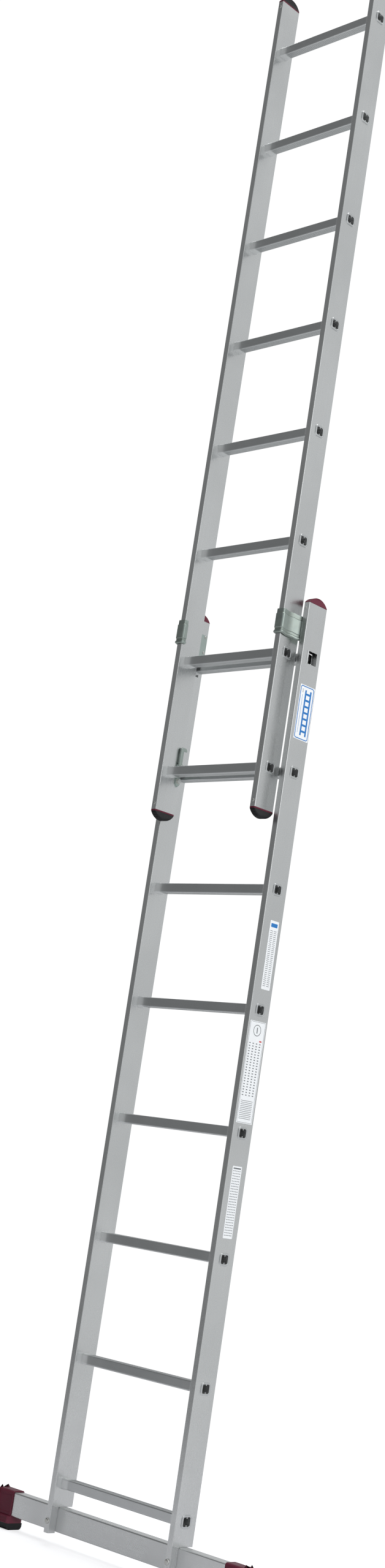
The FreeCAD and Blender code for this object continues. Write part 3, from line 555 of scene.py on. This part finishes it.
# ---------------------------------------------------------------- finishes
class LADDER_OT_finishes(bpy.types.Operator):
    """Make the finishes and give every piece of the frame its own"""

    bl_idname = "ladder.finishes"
    bl_label = "Finishes"

    def execute(self, context):
        colours = context.scene.ladder_colours
        rungs = []
        for section in ("base", "fly"):
            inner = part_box(section + "_stile_right")[0][0]
            # band of painted highlight on each section's rung collars
            collar_highlight = (inner - COLLAR_HIGHLIGHT_FROM, inner - COLLAR_HIGHLIGHT_TO)
            rungs.append((section + "_rungs", extruded_aluminium, colours.rung, "X", 0.30, collar_highlight))
        for name, make, colour, *settings in (
                ("stile_aluminium", extruded_aluminium, colours.stile, "Z", 0.25),
                ("bar_aluminium", extruded_aluminium, colours.stile, "X", 0.27),
                ("rung_aluminium", extruded_aluminium, colours.rung, "X", 0.30),
                *rungs,
                ("sawn_metal", sawn_metal, HOLLOW_SHADE_TONE, 0.55),
                ("zinc_plate", zinc_sheet, colours.zinc, 0.34),
                ("zinc_fasteners", zinc_sheet, colours.fastener, 0.28),
                ("burgundy_plastic", moulded_plastic, colours.plastic, 0.40),
                ("black_rubber", moulded_rubber, colours.rubber, 0.60),
                ("label_film", sticker_film, colours.film, 0.32),
                ("blue_ink", sticker_film, colours.blue_ink, 0.36),
                ("dark_ink", sticker_film, colours.dark_ink, 0.36),
                ("red_ink", sticker_film, colours.red_ink, 0.36)):
            finishes[name] = make(name, tuple(colour), *settings)
        for part in frame["record"]["subparts"]:
            node = frame["nodes"][part["node"]]
            finish = part["material_slot"]
            if part["node"] == "base_crossbar":
                finish = "bar_aluminium"
            if "_rung_" in part["node"]:
                finish = part["node"].split("_")[0] + "_rungs"
            for slot in node.material_slots:
                slot.link = "OBJECT"
                slot.material = finishes[finish]
        return {"FINISHED"}


# ---------------------------------------------------------------- rung ends
def rolled_bead(name, low, high, side, sizes):
    """The rounded square bead that is rolled over a rung's end, outside the stile."""
    outward = 1.0 if side == "right" else -1.0
    face = high.x if side == "right" else low.x
    proud, overlap, corner, lip = 1.2 * MM, 0.4 * MM, 8.2 * MM, 1.25 * MM
    stile_face = face - outward * proud
    top = stile_face + outward * sizes.bead_height
    piece = block(name, (min(stile_face, top), low.y - overlap, low.z - overlap),
                  (max(stile_face, top), high.y + overlap, high.z + overlap))

    def is_rim(edge):
        return (abs(middle(edge).x - top) < SAME_PLACE and not runs(edge, 0)
                and edge.calc_face_angle(0.0) > 1.0)

    with Shaping(piece) as work:
        work.round_edges(lambda edge: runs(edge, 0), corner, 7)
        work.faces(lambda one: abs(one.normal.x) > 0.99)
        work.inset(sizes.bead_width)
        work.faces(lambda one: abs(one.normal.x) > 0.99 and one.calc_area() > 300 * MM * MM)
        bpy.ops.mesh.bridge_edge_loops()
        work.round_edges(is_rim, lip, 4)
        work.outward()
    return piece


class LADDER_OT_rung_beads(bpy.types.Operator):
    """Roll a bead round the open end of every rung"""

    bl_idname = "ladder.rung_beads"
    bl_label = "Rung beads"

    def execute(self, context):
        sizes = context.scene.ladder_sizes
        for section, count in (("base", 7), ("fly", 8)):
            for side in SIDES:
                low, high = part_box(section + "_rung_1")
                first = rolled_bead("bead", Vector(low), Vector(high), side, sizes)
                beads = [first]
                for number in range(2, count + 1):
                    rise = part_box("%s_rung_%d" % (section, number))[0][2] - low[2]
                    beads.append(copy_by(first, "bead", (0.0, 0.0, rise)))
                whole = join_up("%s_rung_beads_%s" % (section, side), beads)
                finished(whole, "rung_aluminium", section)
        open_rung = softened_copy("open_top_rung", "base_rung_8", 0.25 * MM)
        finished(open_rung, "rung_aluminium", "base", "base_rung_8", look="base_rungs")
        # The end and inside of the top rung, within the hollow stile, get near-black painted shade.
        open_rung.data.materials.append(finishes["sawn_metal"])
        low, high = corners("base_rung_8")
        wall, tongue_depth, flare = 2.0 * MM, 5.0 * MM, 1.5 * MM
        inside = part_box("base_stile_right")[0][0] + wall
        tongue = low.y + tongue_depth

        def is_in_hollow_shade(face):
            spot = face.calc_center_median()
            return inside < abs(spot.x) < high.x - flare and (spot.y > tongue or abs(face.normal.x) > 0.9)

        with Shaping(open_rung) as work:
            work.cut((inside, 0.0, 0.0), (1.0, 0.0, 0.0))
            work.cut((-inside, 0.0, 0.0), (1.0, 0.0, 0.0))
            work.faces(is_in_hollow_shade)
            open_rung.active_material_index = 1
            bpy.ops.object.material_slot_assign()
        return {"FINISHED"}


# ---------------------------------------------------------------- rubber feet, pads and domed caps
def domed_end(name, low, high, up, seam):
    """A cap whose side view is an arc, cut from a disc; a thin shadow gap runs round its seat."""
    half = (high.y - low.y) / 2
    rise = high.z - low.z
    radius = (half * half + rise * rise) / (2 * rise)
    way = 1.0 if up else -1.0
    crown = high.z if up else low.z
    seat = low.z if up else high.z
    centre = ((low.x + high.x) / 2, (low.y + high.y) / 2, crown - way * radius)
    deselect_everything()
    bpy.ops.mesh.primitive_cylinder_add(vertices=160, radius=radius, depth=high.x - low.x,
                                        location=centre, rotation=(0.0, math.pi / 2, 0.0))
    piece = settle(named(bpy.context.active_object, name))
    level = seat + way * seam
    with Shaping(piece) as work:
        work.cut((centre[0], centre[1], level), (0.0, 0.0, way), keep="front")
        work.round_edges(lambda edge: not runs(edge, 0) and edge.calc_face_angle(0.0) > 0.8
                         and abs(middle(edge).z - level) > SAME_PLACE, 2.2 * MM, 4)
        work.faces(lambda one: faces_way(one, 2, -way)
                   and abs(one.calc_center_median().z - level) < SAME_PLACE)
        work.inset(0.6 * MM)
        bpy.ops.mesh.extrude_region_move(TRANSFORM_OT_translate={"value": (0.0, 0.0, -way * seam)})
        work.outward()
    return piece, Vector(centre)


def add_ribs(piece, centre, up, depth):
    """Grooves across the curved face of a rubber end, a rib's width apart."""
    way = 1.0 if up else -1.0

    def is_groove(face):
        if abs(face.normal.x) > 0.02 or face.normal.z * way < 0.55 or face.calc_area() < 8 * MM * MM:
            return False
        spot = face.calc_center_median() - centre
        step = round(math.degrees(math.atan2(spot.y, spot.z * way)) / 2.25)
        return step % 3 == 0

    with Shaping(piece) as work:
        work.faces(is_groove)
        work.inset(0.15 * MM)
        work.push(-depth)


class LADDER_OT_stile_ends(bpy.types.Operator):
    """Model the ribbed rubber feet and pads and the smooth domed caps"""

    bl_idname = "ladder.stile_ends"
    bl_label = "Stile ends"

    def execute(self, context):
        sizes = context.scene.ladder_sizes
        for node, up in (("fly_foot", False), ("fly_top_pad", True)):
            low, high = corners(node + "_right")
            right, centre = domed_end("rubber_%s_right" % node, low, high, up, 0.5 * MM)
            add_ribs(right, centre, up, sizes.rib_depth)
            both_sides(right, "black_rubber", "fly", node)
        low, high = corners("base_top_cap_right")
        low.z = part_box("base_stile_right")[1][2]
        right, _ = domed_end("domed_cap_right", low, high, True, 0.8 * MM)
        both_sides(right, "burgundy_plastic", "base", "base_top_cap")
        for node in ("fly_top_plug", "fly_foot_plug"):
            for side in SIDES:
                name = "%s_%s" % (node, side)
                finished(softened_copy("rimmed_" + name, name, 0.6 * MM), "burgundy_plastic", "fly", name)
        return {"FINISHED"}


# ---------------------------------------------------------------- guide brackets
def bent_strap(name, path, z0, z1):
    """A strip of sheet standing on edge along a path of (x, y) points."""
    first, second = Vector((*path[0], z0)), Vector((*path[1], z0))
    run = second - first
    deselect_everything()
    bpy.ops.mesh.primitive_plane_add(size=1.0, location=(first + second) / 2 + Vector((0, 0, (z1 - z0) / 2)),
                                     rotation=(math.pi / 2, 0.0, math.atan2(run.y, run.x)))
    piece = named(bpy.context.active_object, name)
    piece.scale = (run.length, z1 - z0, 1.0)
    settle(piece)
    with Shaping(piece) as work:
        here = Vector(path[1])
        for spot in path[2:]:
            work.edges(lambda edge: runs(edge, 2) and (middle(edge).xy - here).length < 0.05 * MM)
            step = Vector(spot) - here
            bpy.ops.mesh.extrude_region_move(TRANSFORM_OT_translate={"value": (step.x, step.y, 0.0)})
            here = Vector(spot)
    return piece


def guide_bracket(low, high, stile_low, sizes):
    """The right bracket: hooked over the fly's front, bent outward and fixed inside the base stile."""
    sheet = sizes.sheet
    half = sheet / 2
    rolled = 2.2 * MM
    fly_low, fly_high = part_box("fly_stile_right")
    front_y = low.y + rolled + half
    lip_x = low.x + rolled + half
    side_x = fly_high[0] + 2.0 * MM + half
    plate_x = high.x - half
    bend_y = fly_low[1] + 24.0 * MM
    plate_y = stile_low.y - 1.0 * MM
    path = [(lip_x, fly_low[1] + 9.0 * MM), (lip_x, front_y), (side_x, front_y),
            (side_x, bend_y), (plate_x, plate_y), (plate_x, high.y)]
    piece = bent_strap("guide_strap_right", path, low.z, high.z)
    slope = 1.4 * MM
    band_top, band_low = high.z - 11.0 * MM, high.z - 47.0 * MM
    band = (band_low, band_low + slope, band_top - slope, band_top)
    bead = tuple(low.z + up * MM for up in (1.2, 2.6, 5.2, 6.8))

    def corner(edge, points):
        return runs(edge, 2) and any((middle(edge).xy - Vector(p)).length < 5 * SAME_PLACE for p in points)

    with Shaping(piece) as work:
        work.round_edges(lambda edge: corner(edge, path[1:3]), 3.2 * MM, 6)
        work.round_edges(lambda edge: corner(edge, path[3:5]), 9.0 * MM, 6)
        for z in bead + band:
            work.cut((0.0, 0.0, z), (0.0, 0.0, 1.0))
        sample = Vector((side_x, bend_y - 6.0 * MM))
        mesh = bmesh.from_edit_mesh(piece.data)
        mesh.normal_update()
        near = min(mesh.faces, key=lambda one: (one.calc_center_median().xy - sample).length)
        way = 1.0 if near.normal.x > 0 else -1.0
        for (_, z0, z1, _), proud in ((band, 1.4 * MM), (bead, 2.0 * MM)):
            work.faces(lambda one: z0 < one.calc_center_median().z < z1
                       and one.calc_center_median().y < plate_y)
            bpy.ops.transform.shrink_fatten(value=way * proud)
    modified(piece, "SOLIDIFY", thickness=sheet, offset=0.0, use_even_offset=True)
    modified(piece, "BEVEL", width=0.55 * MM, segments=3, limit_method="ANGLE",
             angle_limit=math.radians(28.0), use_clamp_overlap=True)
    back_step = 2.5 * MM
    with Shaping(piece) as work:
        work.outward()
        for start in (bend_y - 10.0 * MM, (bend_y + plate_y) / 2):
            work.faces(lambda one: all(vert.co.y > start for vert in one.verts))
            bpy.ops.transform.translate(value=(0.0, 0.0, -back_step))
    return piece


class LADDER_OT_guide_brackets(bpy.types.Operator):
    """Bend the two pressed guide brackets"""

    bl_idname = "ladder.guide_brackets"
    bl_label = "Guide brackets"

    def execute(self, context):
        sizes = context.scene.ladder_sizes
        low, high = corners("guide_bracket_right")
        stile_low, _ = corners("base_stile_right")
        both_sides(guide_bracket(low, high, stile_low, sizes), "zinc_plate", "base", "guide_bracket")
        return {"FINISHED"}


# ---------------------------------------------------------------- locking hooks
class LADDER_OT_locking_hooks(bpy.types.Operator):
    """Model the hooks, their carrier plates and their nuts with broken edges"""

    bl_idname = "ladder.locking_hooks"
    bl_label = "Locking hooks"

    def execute(self, context):
        for side in SIDES:
            hook = softened_copy("swinging_hook_" + side, "locking_hook_" + side, 0.7 * MM, 3)
            finished(hook, "zinc_plate", "hook_" + side, "locking_hook_" + side)
            plate = softened_copy("hook_carrier_" + side, "hook_plate_" + side, 0.5 * MM)
            finished(plate, "zinc_plate", "fly", "hook_plate_" + side)
        for node in ("hook_pivot_bolts", "hook_plate_bolts", "hook_nuts"):
            finished(softened_copy("turned_" + node, node, 0.35 * MM), "zinc_fasteners", "fly", node)
        finished(softened_copy("turned_crossbar_nuts", "crossbar_nuts", 0.35 * MM), "zinc_fasteners", "base",
                 "crossbar_nuts")
        return {"FINISHED"}


# ---------------------------------------------------------------- pressed stile feet
def pressed_line(name, x, spots):
    """The bright raised line above a stile's pressed foot, along a path of (y, z) points."""
    thickness = 2.0 * MM
    deselect_everything()
    bpy.ops.mesh.primitive_circle_add(vertices=14, radius=thickness / 2, fill_type="NGON",
                                      location=(x, *spots[0]), rotation=(math.pi / 2, 0.0, 0.0))
    piece = settle(named(bpy.context.active_object, name))
    with Shaping(piece) as work:
        work.everything()
        for before, after in zip(spots, spots[1:]):
            step = (0.0, after[0] - before[0], after[1] - before[1])
            bpy.ops.mesh.extrude_region_move(TRANSFORM_OT_translate={"value": step})
        work.outward()
    return piece


class LADDER_OT_pressed_feet(bpy.types.Operator):
    """Raise the curved line above each stile's pressed foot"""

    bl_idname = "ladder.pressed_feet"
    bl_label = "Pressed feet"

    def execute(self, context):
        low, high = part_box("base_stile_right")
        bar_low, bar_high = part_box("base_crossbar")
        start, end = low[1] + 1.0 * MM, bar_low[1] - 0.3 * MM
        above, drop, curve, pieces, sunk = 3.5, 6.5, 1.5, 8, 0.2 * MM
        spots = []
        for step in range(pieces + 1):
            share = step / pieces
            spots.append((start + (end - start) * share, bar_high[2] + (above - drop * share ** curve) * MM))
        lines = [pressed_line("line", x, spots) for x in (low[0] + sunk, high[0] - sunk)]
        both_sides(join_up("pressed_lines_right", lines), "stile_aluminium", "base", look="bar_aluminium")
        return {"FINISHED"}


# ---------------------------------------------------------------- crossbar ends
def sleeve_cap(low, high):
    """The right end cap: a sleeve with a recessed panel each side, over the block that holds the sole."""
    inset, foot_top = 6.0 * MM, 17.0 * MM
    sleeve = block("sleeve", (low.x, low.y + inset, low.z + 13.0 * MM), (high.x, high.y - inset, high.z))
    with Shaping(sleeve) as work:
        work.round_edges(lambda edge: runs(edge, 0), 6.0 * MM, 5)
        work.round_edges(lambda edge: abs(middle(edge).x - high.x) < SAME_PLACE, 3.0 * MM, 4)
        work.faces(lambda one: faces_way(one, 0, 1) and one.calc_area() > 500 * MM * MM)
        work.inset(5.0 * MM)
        work.inset(1.0 * MM, -1.0 * MM)
        work.faces(lambda one: abs(one.normal.y) > 0.99 and one.calc_area() > 500 * MM * MM)
        bpy.ops.mesh.inset(thickness=5.0 * MM, use_individual=True)
        bpy.ops.mesh.inset(thickness=0.8 * MM, depth=-0.9 * MM, use_individual=True)
        work.faces(lambda one: faces_way(one, 0, -1))
        work.inset(3.0 * MM)
        bpy.ops.mesh.extrude_region_move(TRANSFORM_OT_translate={"value": (46.0 * MM, 0.0, 0.0)})
        work.round_edges(lambda edge: abs(middle(edge).x - low.x) < SAME_PLACE
                         and edge.calc_face_angle(0.0) > 1.0, 0.9 * MM, 3)
    foot = block("foot", (low.x, low.y, low.z), (high.x, high.y, low.z + foot_top))
    with Shaping(foot) as work:
        work.round_edges(lambda edge: runs(edge, 2), 5.0 * MM, 5)
        work.round_edges(lambda edge: middle(edge).z > low.z + 16.9 * MM, 3.0 * MM, 4)
        work.faces(lambda one: abs(one.normal.y) > 0.99 and one.calc_area() > 200 * MM * MM)
        bpy.ops.mesh.inset(thickness=2.5 * MM, use_individual=True)
        bpy.ops.mesh.inset(thickness=0.5 * MM, depth=-0.7 * MM, use_individual=True)
    return join_up("sleeve_cap_right", [sleeve, foot])


def rubber_sole(low, high):
    """The right sole: rounded front and back, grooved across underneath."""
    top = low.z + 15.0 * MM
    round_by, pitch, groove_depth, facet = 9.0 * MM, 3.0 * MM, 1.0 * MM, 9.0
    ground_clearance = 3.0 * MM
    piece = block("grooved_sole_right", low, (high.x, high.y, top))

    def is_groove(face):
        if face.normal.z > -0.25 or abs(face.normal.x) > 0.1:
            return False
        if face.normal.z < -0.999:
            return int((face.calc_center_median().y - low.y - round_by) / pitch) % 2 == 1
        return int(math.degrees(math.acos(min(1.0, -face.normal.z))) / facet) % 2 == 0

    def is_end(edge):
        off_middle = abs(middle(edge).x - (low.x + high.x) / 2)
        return (abs(off_middle - (high.x - low.x) / 2) < SAME_PLACE
                and edge.calc_face_angle(0.0) > 1.0 and middle(edge).z > ground_clearance)

    with Shaping(piece) as work:
        work.round_edges(lambda edge: runs(edge, 0) and middle(edge).z < low.z + SAME_PLACE, 8.9 * MM, 10)
        for step in range(1, 10):
            work.cut((0.0, low.y + round_by + step * pitch, 0.0), (0.0, 1.0, 0.0))
        work.faces(is_groove)
        work.push(-groove_depth)
        work.round_edges(is_end, 0.5 * MM, 2)
    return piece


class LADDER_OT_crossbar_ends(bpy.types.Operator):
    """Model the plastic end caps and the rubber soles under them"""

    bl_idname = "ladder.crossbar_ends"
    bl_label = "Crossbar ends"

    def execute(self, context):
        cap = sleeve_cap(*corners("crossbar_end_cap_right"))
        both_sides(cap, "burgundy_plastic", "base", "crossbar_end_cap")
        sole = rubber_sole(*corners("crossbar_sole_right"))
        both_sides(sole, "black_rubber", "base", "crossbar_sole")
        return {"FINISHED"}


# ---------------------------------------------------------------- stickers
class Print:
    """Ink laid on one sticker; places are millimetres from the sticker's lower front corner."""

    def __init__(self, node, sizes):
        self.low, self.high = corners(node)
        self.height = sizes.print_height
        self.width = (self.high.y - self.low.y) / MM
        self.tall = (self.high.z - self.low.z) / MM
        self.pieces = []

    def bar(self, ink, y, z, wide, tall, corner=0.3):
        """One rounded bar of ink."""
        x = self.high.x + SAME_PLACE
        low = (x, self.low.y + y * MM, self.low.z + z * MM)
        high = (x + self.height, low[1] + wide * MM, low[2] + tall * MM)
        piece = block("ink", low, high)
        with Shaping(piece) as work:
            work.round_edges(lambda edge: runs(edge, 0), corner * MM, 4 if corner > 1.0 else 2)
        piece.data.materials.append(finishes[ink])
        self.pieces.append(piece)
        return piece

    def outline(self, ink, y, z, wide, tall, line, corner):
        """A rounded frame of ink."""
        piece = self.bar(ink, y, z, wide, tall, corner)
        with Shaping(piece) as work:
            work.faces(lambda one: abs(one.normal.x) > 0.99)
            work.inset(line * MM)
            work.faces(lambda one: abs(one.normal.x) > 0.99
                       and (one.calc_center_median() - self._middle(y, z, wide, tall)).length < 0.5 * MM
                       and len(one.verts) > 4)
            bpy.ops.mesh.bridge_edge_loops()
            work.outward()
        return piece

    def _middle(self, y, z, wide, tall):
        return Vector((self.high.x + SAME_PLACE, self.low.y + (y + wide / 2) * MM,
                       self.low.z + (z + tall / 2) * MM))

    def rows(self, ink, y, z, wide, tall, across, up, gap_across, gap_up):
        """The same bar in rows and columns."""
        piece = self.bar(ink, y, z, wide, tall, min(wide, tall) * 0.2)
        for count, offset in ((across, (0.0, gap_across * MM, 0.0)), (up, (0.0, 0.0, gap_up * MM))):
            if count > 1:
                modified(piece, "ARRAY", count=count, use_relative_offset=False, use_constant_offset=True,
                         constant_offset_displace=offset)
        return piece

    def done(self, name):
        return finished(join_up(name, self.pieces), None, "base")


class LADDER_OT_stickers(bpy.types.Operator):
    """Print plain, generic marks on the four stickers"""

    bl_idname = "ladder.stickers"
    bl_label = "Stickers"

    def execute(self, context):
        sizes = context.scene.ladder_sizes
        sheet = Print("label_class", sizes)
        wide, tall = sheet.width, sheet.tall
        sheet.outline("blue_ink", 2.0, 2.0, wide - 4.0, tall - 4.0, 2.2, 6.0)
        sheet.rows("blue_ink", 19.0, 11.0, 5.2, tall - 22.0, 2, 1, 17.8, 0.0)
        sheet.rows("blue_ink", 24.3, 19.0, 12.4, 5.0, 1, 7, 0.0, 15.0)
        sheet.bar("blue_ink", 10.5, 16.0, 0.9, tall - 40.0, 0.4)
        sheet.rows("dark_ink", 8.5, tall - 18.0, 5.0, 1.1, 1, 3, 0.0, 3.2)
        sheet.done("print_class")
        sheet = Print("label_strip", sizes)
        wide, tall = sheet.width, sheet.tall
        sheet.bar("blue_ink", 4.0, tall - 15.0, wide - 8.0, 9.0, 1.0)
        sheet.rows("dark_ink", 4.0, 8.0, 9.0, 1.2, 2, 30, 12.5, 4.4)
        sheet.done("print_strip")
        sheet = Print("label_guide", sizes)
        wide, tall = sheet.width, sheet.tall
        sheet.outline("dark_ink", 1.6, 1.6, wide - 3.2, tall - 3.2, 0.7, 3.0)
        sheet.outline("dark_ink", wide / 2 - 13.0, tall - 34.0, 26.0, 26.0, 1.6, 12.5)
        sheet.bar("dark_ink", wide / 2 - 1.5, tall - 28.0, 3.0, 14.0, 1.0)
        sheet.rows("dark_ink", 6.0, 62.0, 5.0, 2.2, 4, 20, 11.4, 6.2)
        sheet.rows("dark_ink", 6.0, 10.0, 40.0, 1.1, 1, 11, 0.0, 4.0)
        sheet.bar("red_ink", wide - 15.0, 186.0, 8.0, 3.0, 0.6)
        sheet.done("print_guide")
        sheet = Print("label_grid", sizes)
        wide, tall = sheet.width, sheet.tall
        sheet.rows("dark_ink", 3.0, 6.0, 3.6, 1.6, 5, 26, 5.3, 5.7)
        sheet.bar("dark_ink", 3.0, tall - 6.5, wide - 6.0, 3.0, 0.5)
        sheet.done("print_grid")
        return {"FINISHED"}


# ---------------------------------------------------------------- stage
def soft_light(name, place, target, size, power):
    lamp = bpy.data.lights.new(name, "AREA")
    lamp.shape = "DISK"
    lamp.size = size
    lamp.energy = power
    holder = bpy.data.objects.new(name, lamp)
    bpy.context.scene.collection.objects.link(holder)
    holder.location = place
    holder.rotation_euler = (Vector(target) - Vector(place)).to_track_quat("-Z", "Y").to_euler()
    return holder


def studio_room(stage):
    """A soft room, bright behind on the right and dim in front on the left; white where the camera looks."""
    world = bpy.data.worlds.new("studio_room")
    bpy.context.scene.world = world
    world.use_nodes = True
    tree = world.node_tree
    tree.nodes.clear()
    add, link = tree.nodes.new, tree.links.new
    coords = add("ShaderNodeTexCoord")
    toward = add("ShaderNodeVectorMath")
    toward.operation = "DOT_PRODUCT"
    toward.inputs[1].default_value = Vector((-0.62, -0.66, 0.42)).normalized()
    link(coords.outputs["Generated"], toward.inputs[0])
    ramp = add("ShaderNodeMapRange")
    ramp.interpolation_type = "SMOOTHSTEP"
    ramp.inputs["From Min"].default_value = -0.15
    ramp.inputs["From Max"].default_value = 0.95
    ramp.inputs["To Min"].default_value = stage.room_bright
    ramp.inputs["To Max"].default_value = stage.room_dark
    link(toward.outputs["Value"], ramp.inputs["Value"])
    room = add("ShaderNodeBackground")
    room.inputs["Color"].default_value = (0.97, 0.99, 1.0, 1.0)
    link(ramp.outputs["Result"], room.inputs["Strength"])
    white = add("ShaderNodeBackground")
    white.inputs["Color"].default_value = (1.0, 1.0, 1.0, 1.0)
    white.inputs["Strength"].default_value = 1.05
    seen = add("ShaderNodeLightPath")
    choose = add("ShaderNodeMixShader")
    link(seen.outputs["Is Camera Ray"], choose.inputs["Fac"])
    link(room.outputs["Background"], choose.inputs[1])
    link(white.outputs["Background"], choose.inputs[2])
    output = add("ShaderNodeOutputWorld")
    link(choose.outputs["Shader"], output.inputs["Surface"])


def pale_floor(stage):
    """A pale floor round the feet that fades into the white at its edge."""
    deselect_everything()
    bpy.ops.mesh.primitive_circle_add(vertices=96, radius=stage.floor_radius, fill_type="NGON",
                                      location=(0.0, 0.0, 0.0))
    floor = settle(named(bpy.context.active_object, "pale_floor"))
    graph = Graph("pale_floor", 0.7)
    graph.surface.inputs["Base Color"].default_value = (0.74, 0.74, 0.76, 1.0)
    glow = graph.node("Emission")
    glow.inputs["Color"].default_value = (1.0, 1.0, 1.0, 1.0)
    glow.inputs["Strength"].default_value = 0.54
    seen = graph.node("LightPath")
    bright = graph.node("MixShader")
    sum_up = graph.node("AddShader")
    graph.link(graph.surface.outputs["BSDF"], sum_up.inputs[0])
    graph.link(glow.outputs["Emission"], sum_up.inputs[1])
    graph.link(seen.outputs["Is Camera Ray"], bright.inputs["Fac"])
    graph.link(graph.surface.outputs["BSDF"], bright.inputs[1])
    graph.link(sum_up.outputs["Shader"], bright.inputs[2])
    length = graph.node("VectorMath", operation="LENGTH")
    graph.link(graph.place(), length.inputs[0])
    fade = graph.node("MapRange", interpolation_type="SMOOTHSTEP")
    fade.inputs["From Min"].default_value = stage.floor_radius * 0.25
    fade.inputs["From Max"].default_value = stage.floor_radius * 0.96
    graph.link(length.outputs["Value"], fade.inputs["Value"])
    clear = graph.node("BsdfTransparent")
    whole = graph.node("MixShader")
    graph.link(fade.outputs["Result"], whole.inputs["Fac"])
    graph.link(bright.outputs["Shader"], whole.inputs[1])
    graph.link(clear.outputs["BSDF"], whole.inputs[2])
    output = graph.tree.nodes["Material Output"]
    graph.link(whole.outputs["Shader"], output.inputs["Surface"])
    floor.data.materials.append(graph.material)


class LADDER_OT_stage(bpy.types.Operator):
    """Set up the floor, the soft lights and the camera"""

    bl_idname = "ladder.stage"
    bl_label = "Stage"

    def execute(self, context):
        stage = context.scene.ladder_stage
        pale_floor(stage)
        studio_room(stage)
        soft_light("key_light", (6.2, 0.3, 3.6), (0.0, 0.0, 1.9), 4.0, stage.key_power)
        fill = soft_light("fill_light", (5.2, -2.6, 2.6), (0.0, 0.0, 1.5), 3.0, stage.fill_power)
        fill.visible_glossy = False
        soft_light("top_light", (0.4, 0.4, 7.2), (0.0, 0.0, 0.0), 3.4, stage.top_power)
        camera_data = bpy.data.cameras.new("ladder_camera")
        camera_data.lens = stage.lens
        camera_data.sensor_width = 36.0
        camera_data.clip_end = 100.0
        camera = bpy.data.objects.new("ladder_camera", camera_data)
        context.scene.collection.objects.link(camera)
        camera.location = (3.18080, -3.30608, 0.85806)
        camera.rotation_euler = [math.radians(angle) for angle in (101.48245, -8.62044, 43.03684)]
        context.scene.camera = camera
        context.scene.view_settings.view_transform = "Standard"
        return {"FINISHED"}


class LADDER_PT_pieces(bpy.types.Panel):
    """The ladder's pieces, in the order they are made"""

    bl_label = "Extension ladder"
    bl_idname = "LADDER_PT_pieces"
    bl_space_type = "VIEW_3D"
    bl_region_type = "UI"
    bl_category = "Ladder"

    def draw(self, context):
        layout = self.layout
        for name in NAMES:
            settings = getattr(context.scene, name)
            box = layout.box()
            for key in settings.__annotations__:
                box.prop(settings, key)
        for operator in OPERATORS:
            layout.operator(operator.bl_idname)


OPERATORS = (
    LADDER_OT_finishes,
    LADDER_OT_rung_beads,
    LADDER_OT_stile_ends,
    LADDER_OT_guide_brackets,
    LADDER_OT_locking_hooks,
    LADDER_OT_pressed_feet,
    LADDER_OT_crossbar_ends,
    LADDER_OT_stickers,
    LADDER_OT_stage,
)
SETTINGS = (LadderColours, LadderSizes, LadderStage)
NAMES = ("ladder_colours", "ladder_sizes", "ladder_stage")


def register():
    for group in SETTINGS + OPERATORS + (LADDER_PT_pieces,):
        bpy.utils.register_class(group)
    for name, group in zip(NAMES, SETTINGS):
        setattr(bpy.types.Scene, name, bpy.props.PointerProperty(type=group))


def unregister():
    for name in NAMES:
        delattr(bpy.types.Scene, name)
    for group in reversed(SETTINGS + OPERATORS + (LADDER_PT_pieces,)):
        bpy.utils.unregister_class(group)


def main():
    register()
    bpy.ops.ladder.finishes()
    bpy.ops.ladder.rung_beads()
    bpy.ops.ladder.stile_ends()
    bpy.ops.ladder.guide_brackets()
    bpy.ops.ladder.locking_hooks()
    bpy.ops.ladder.pressed_feet()
    bpy.ops.ladder.crossbar_ends()
    bpy.ops.ladder.stickers()
    bpy.ops.ladder.stage()


if __name__ == "__main__":
    main()
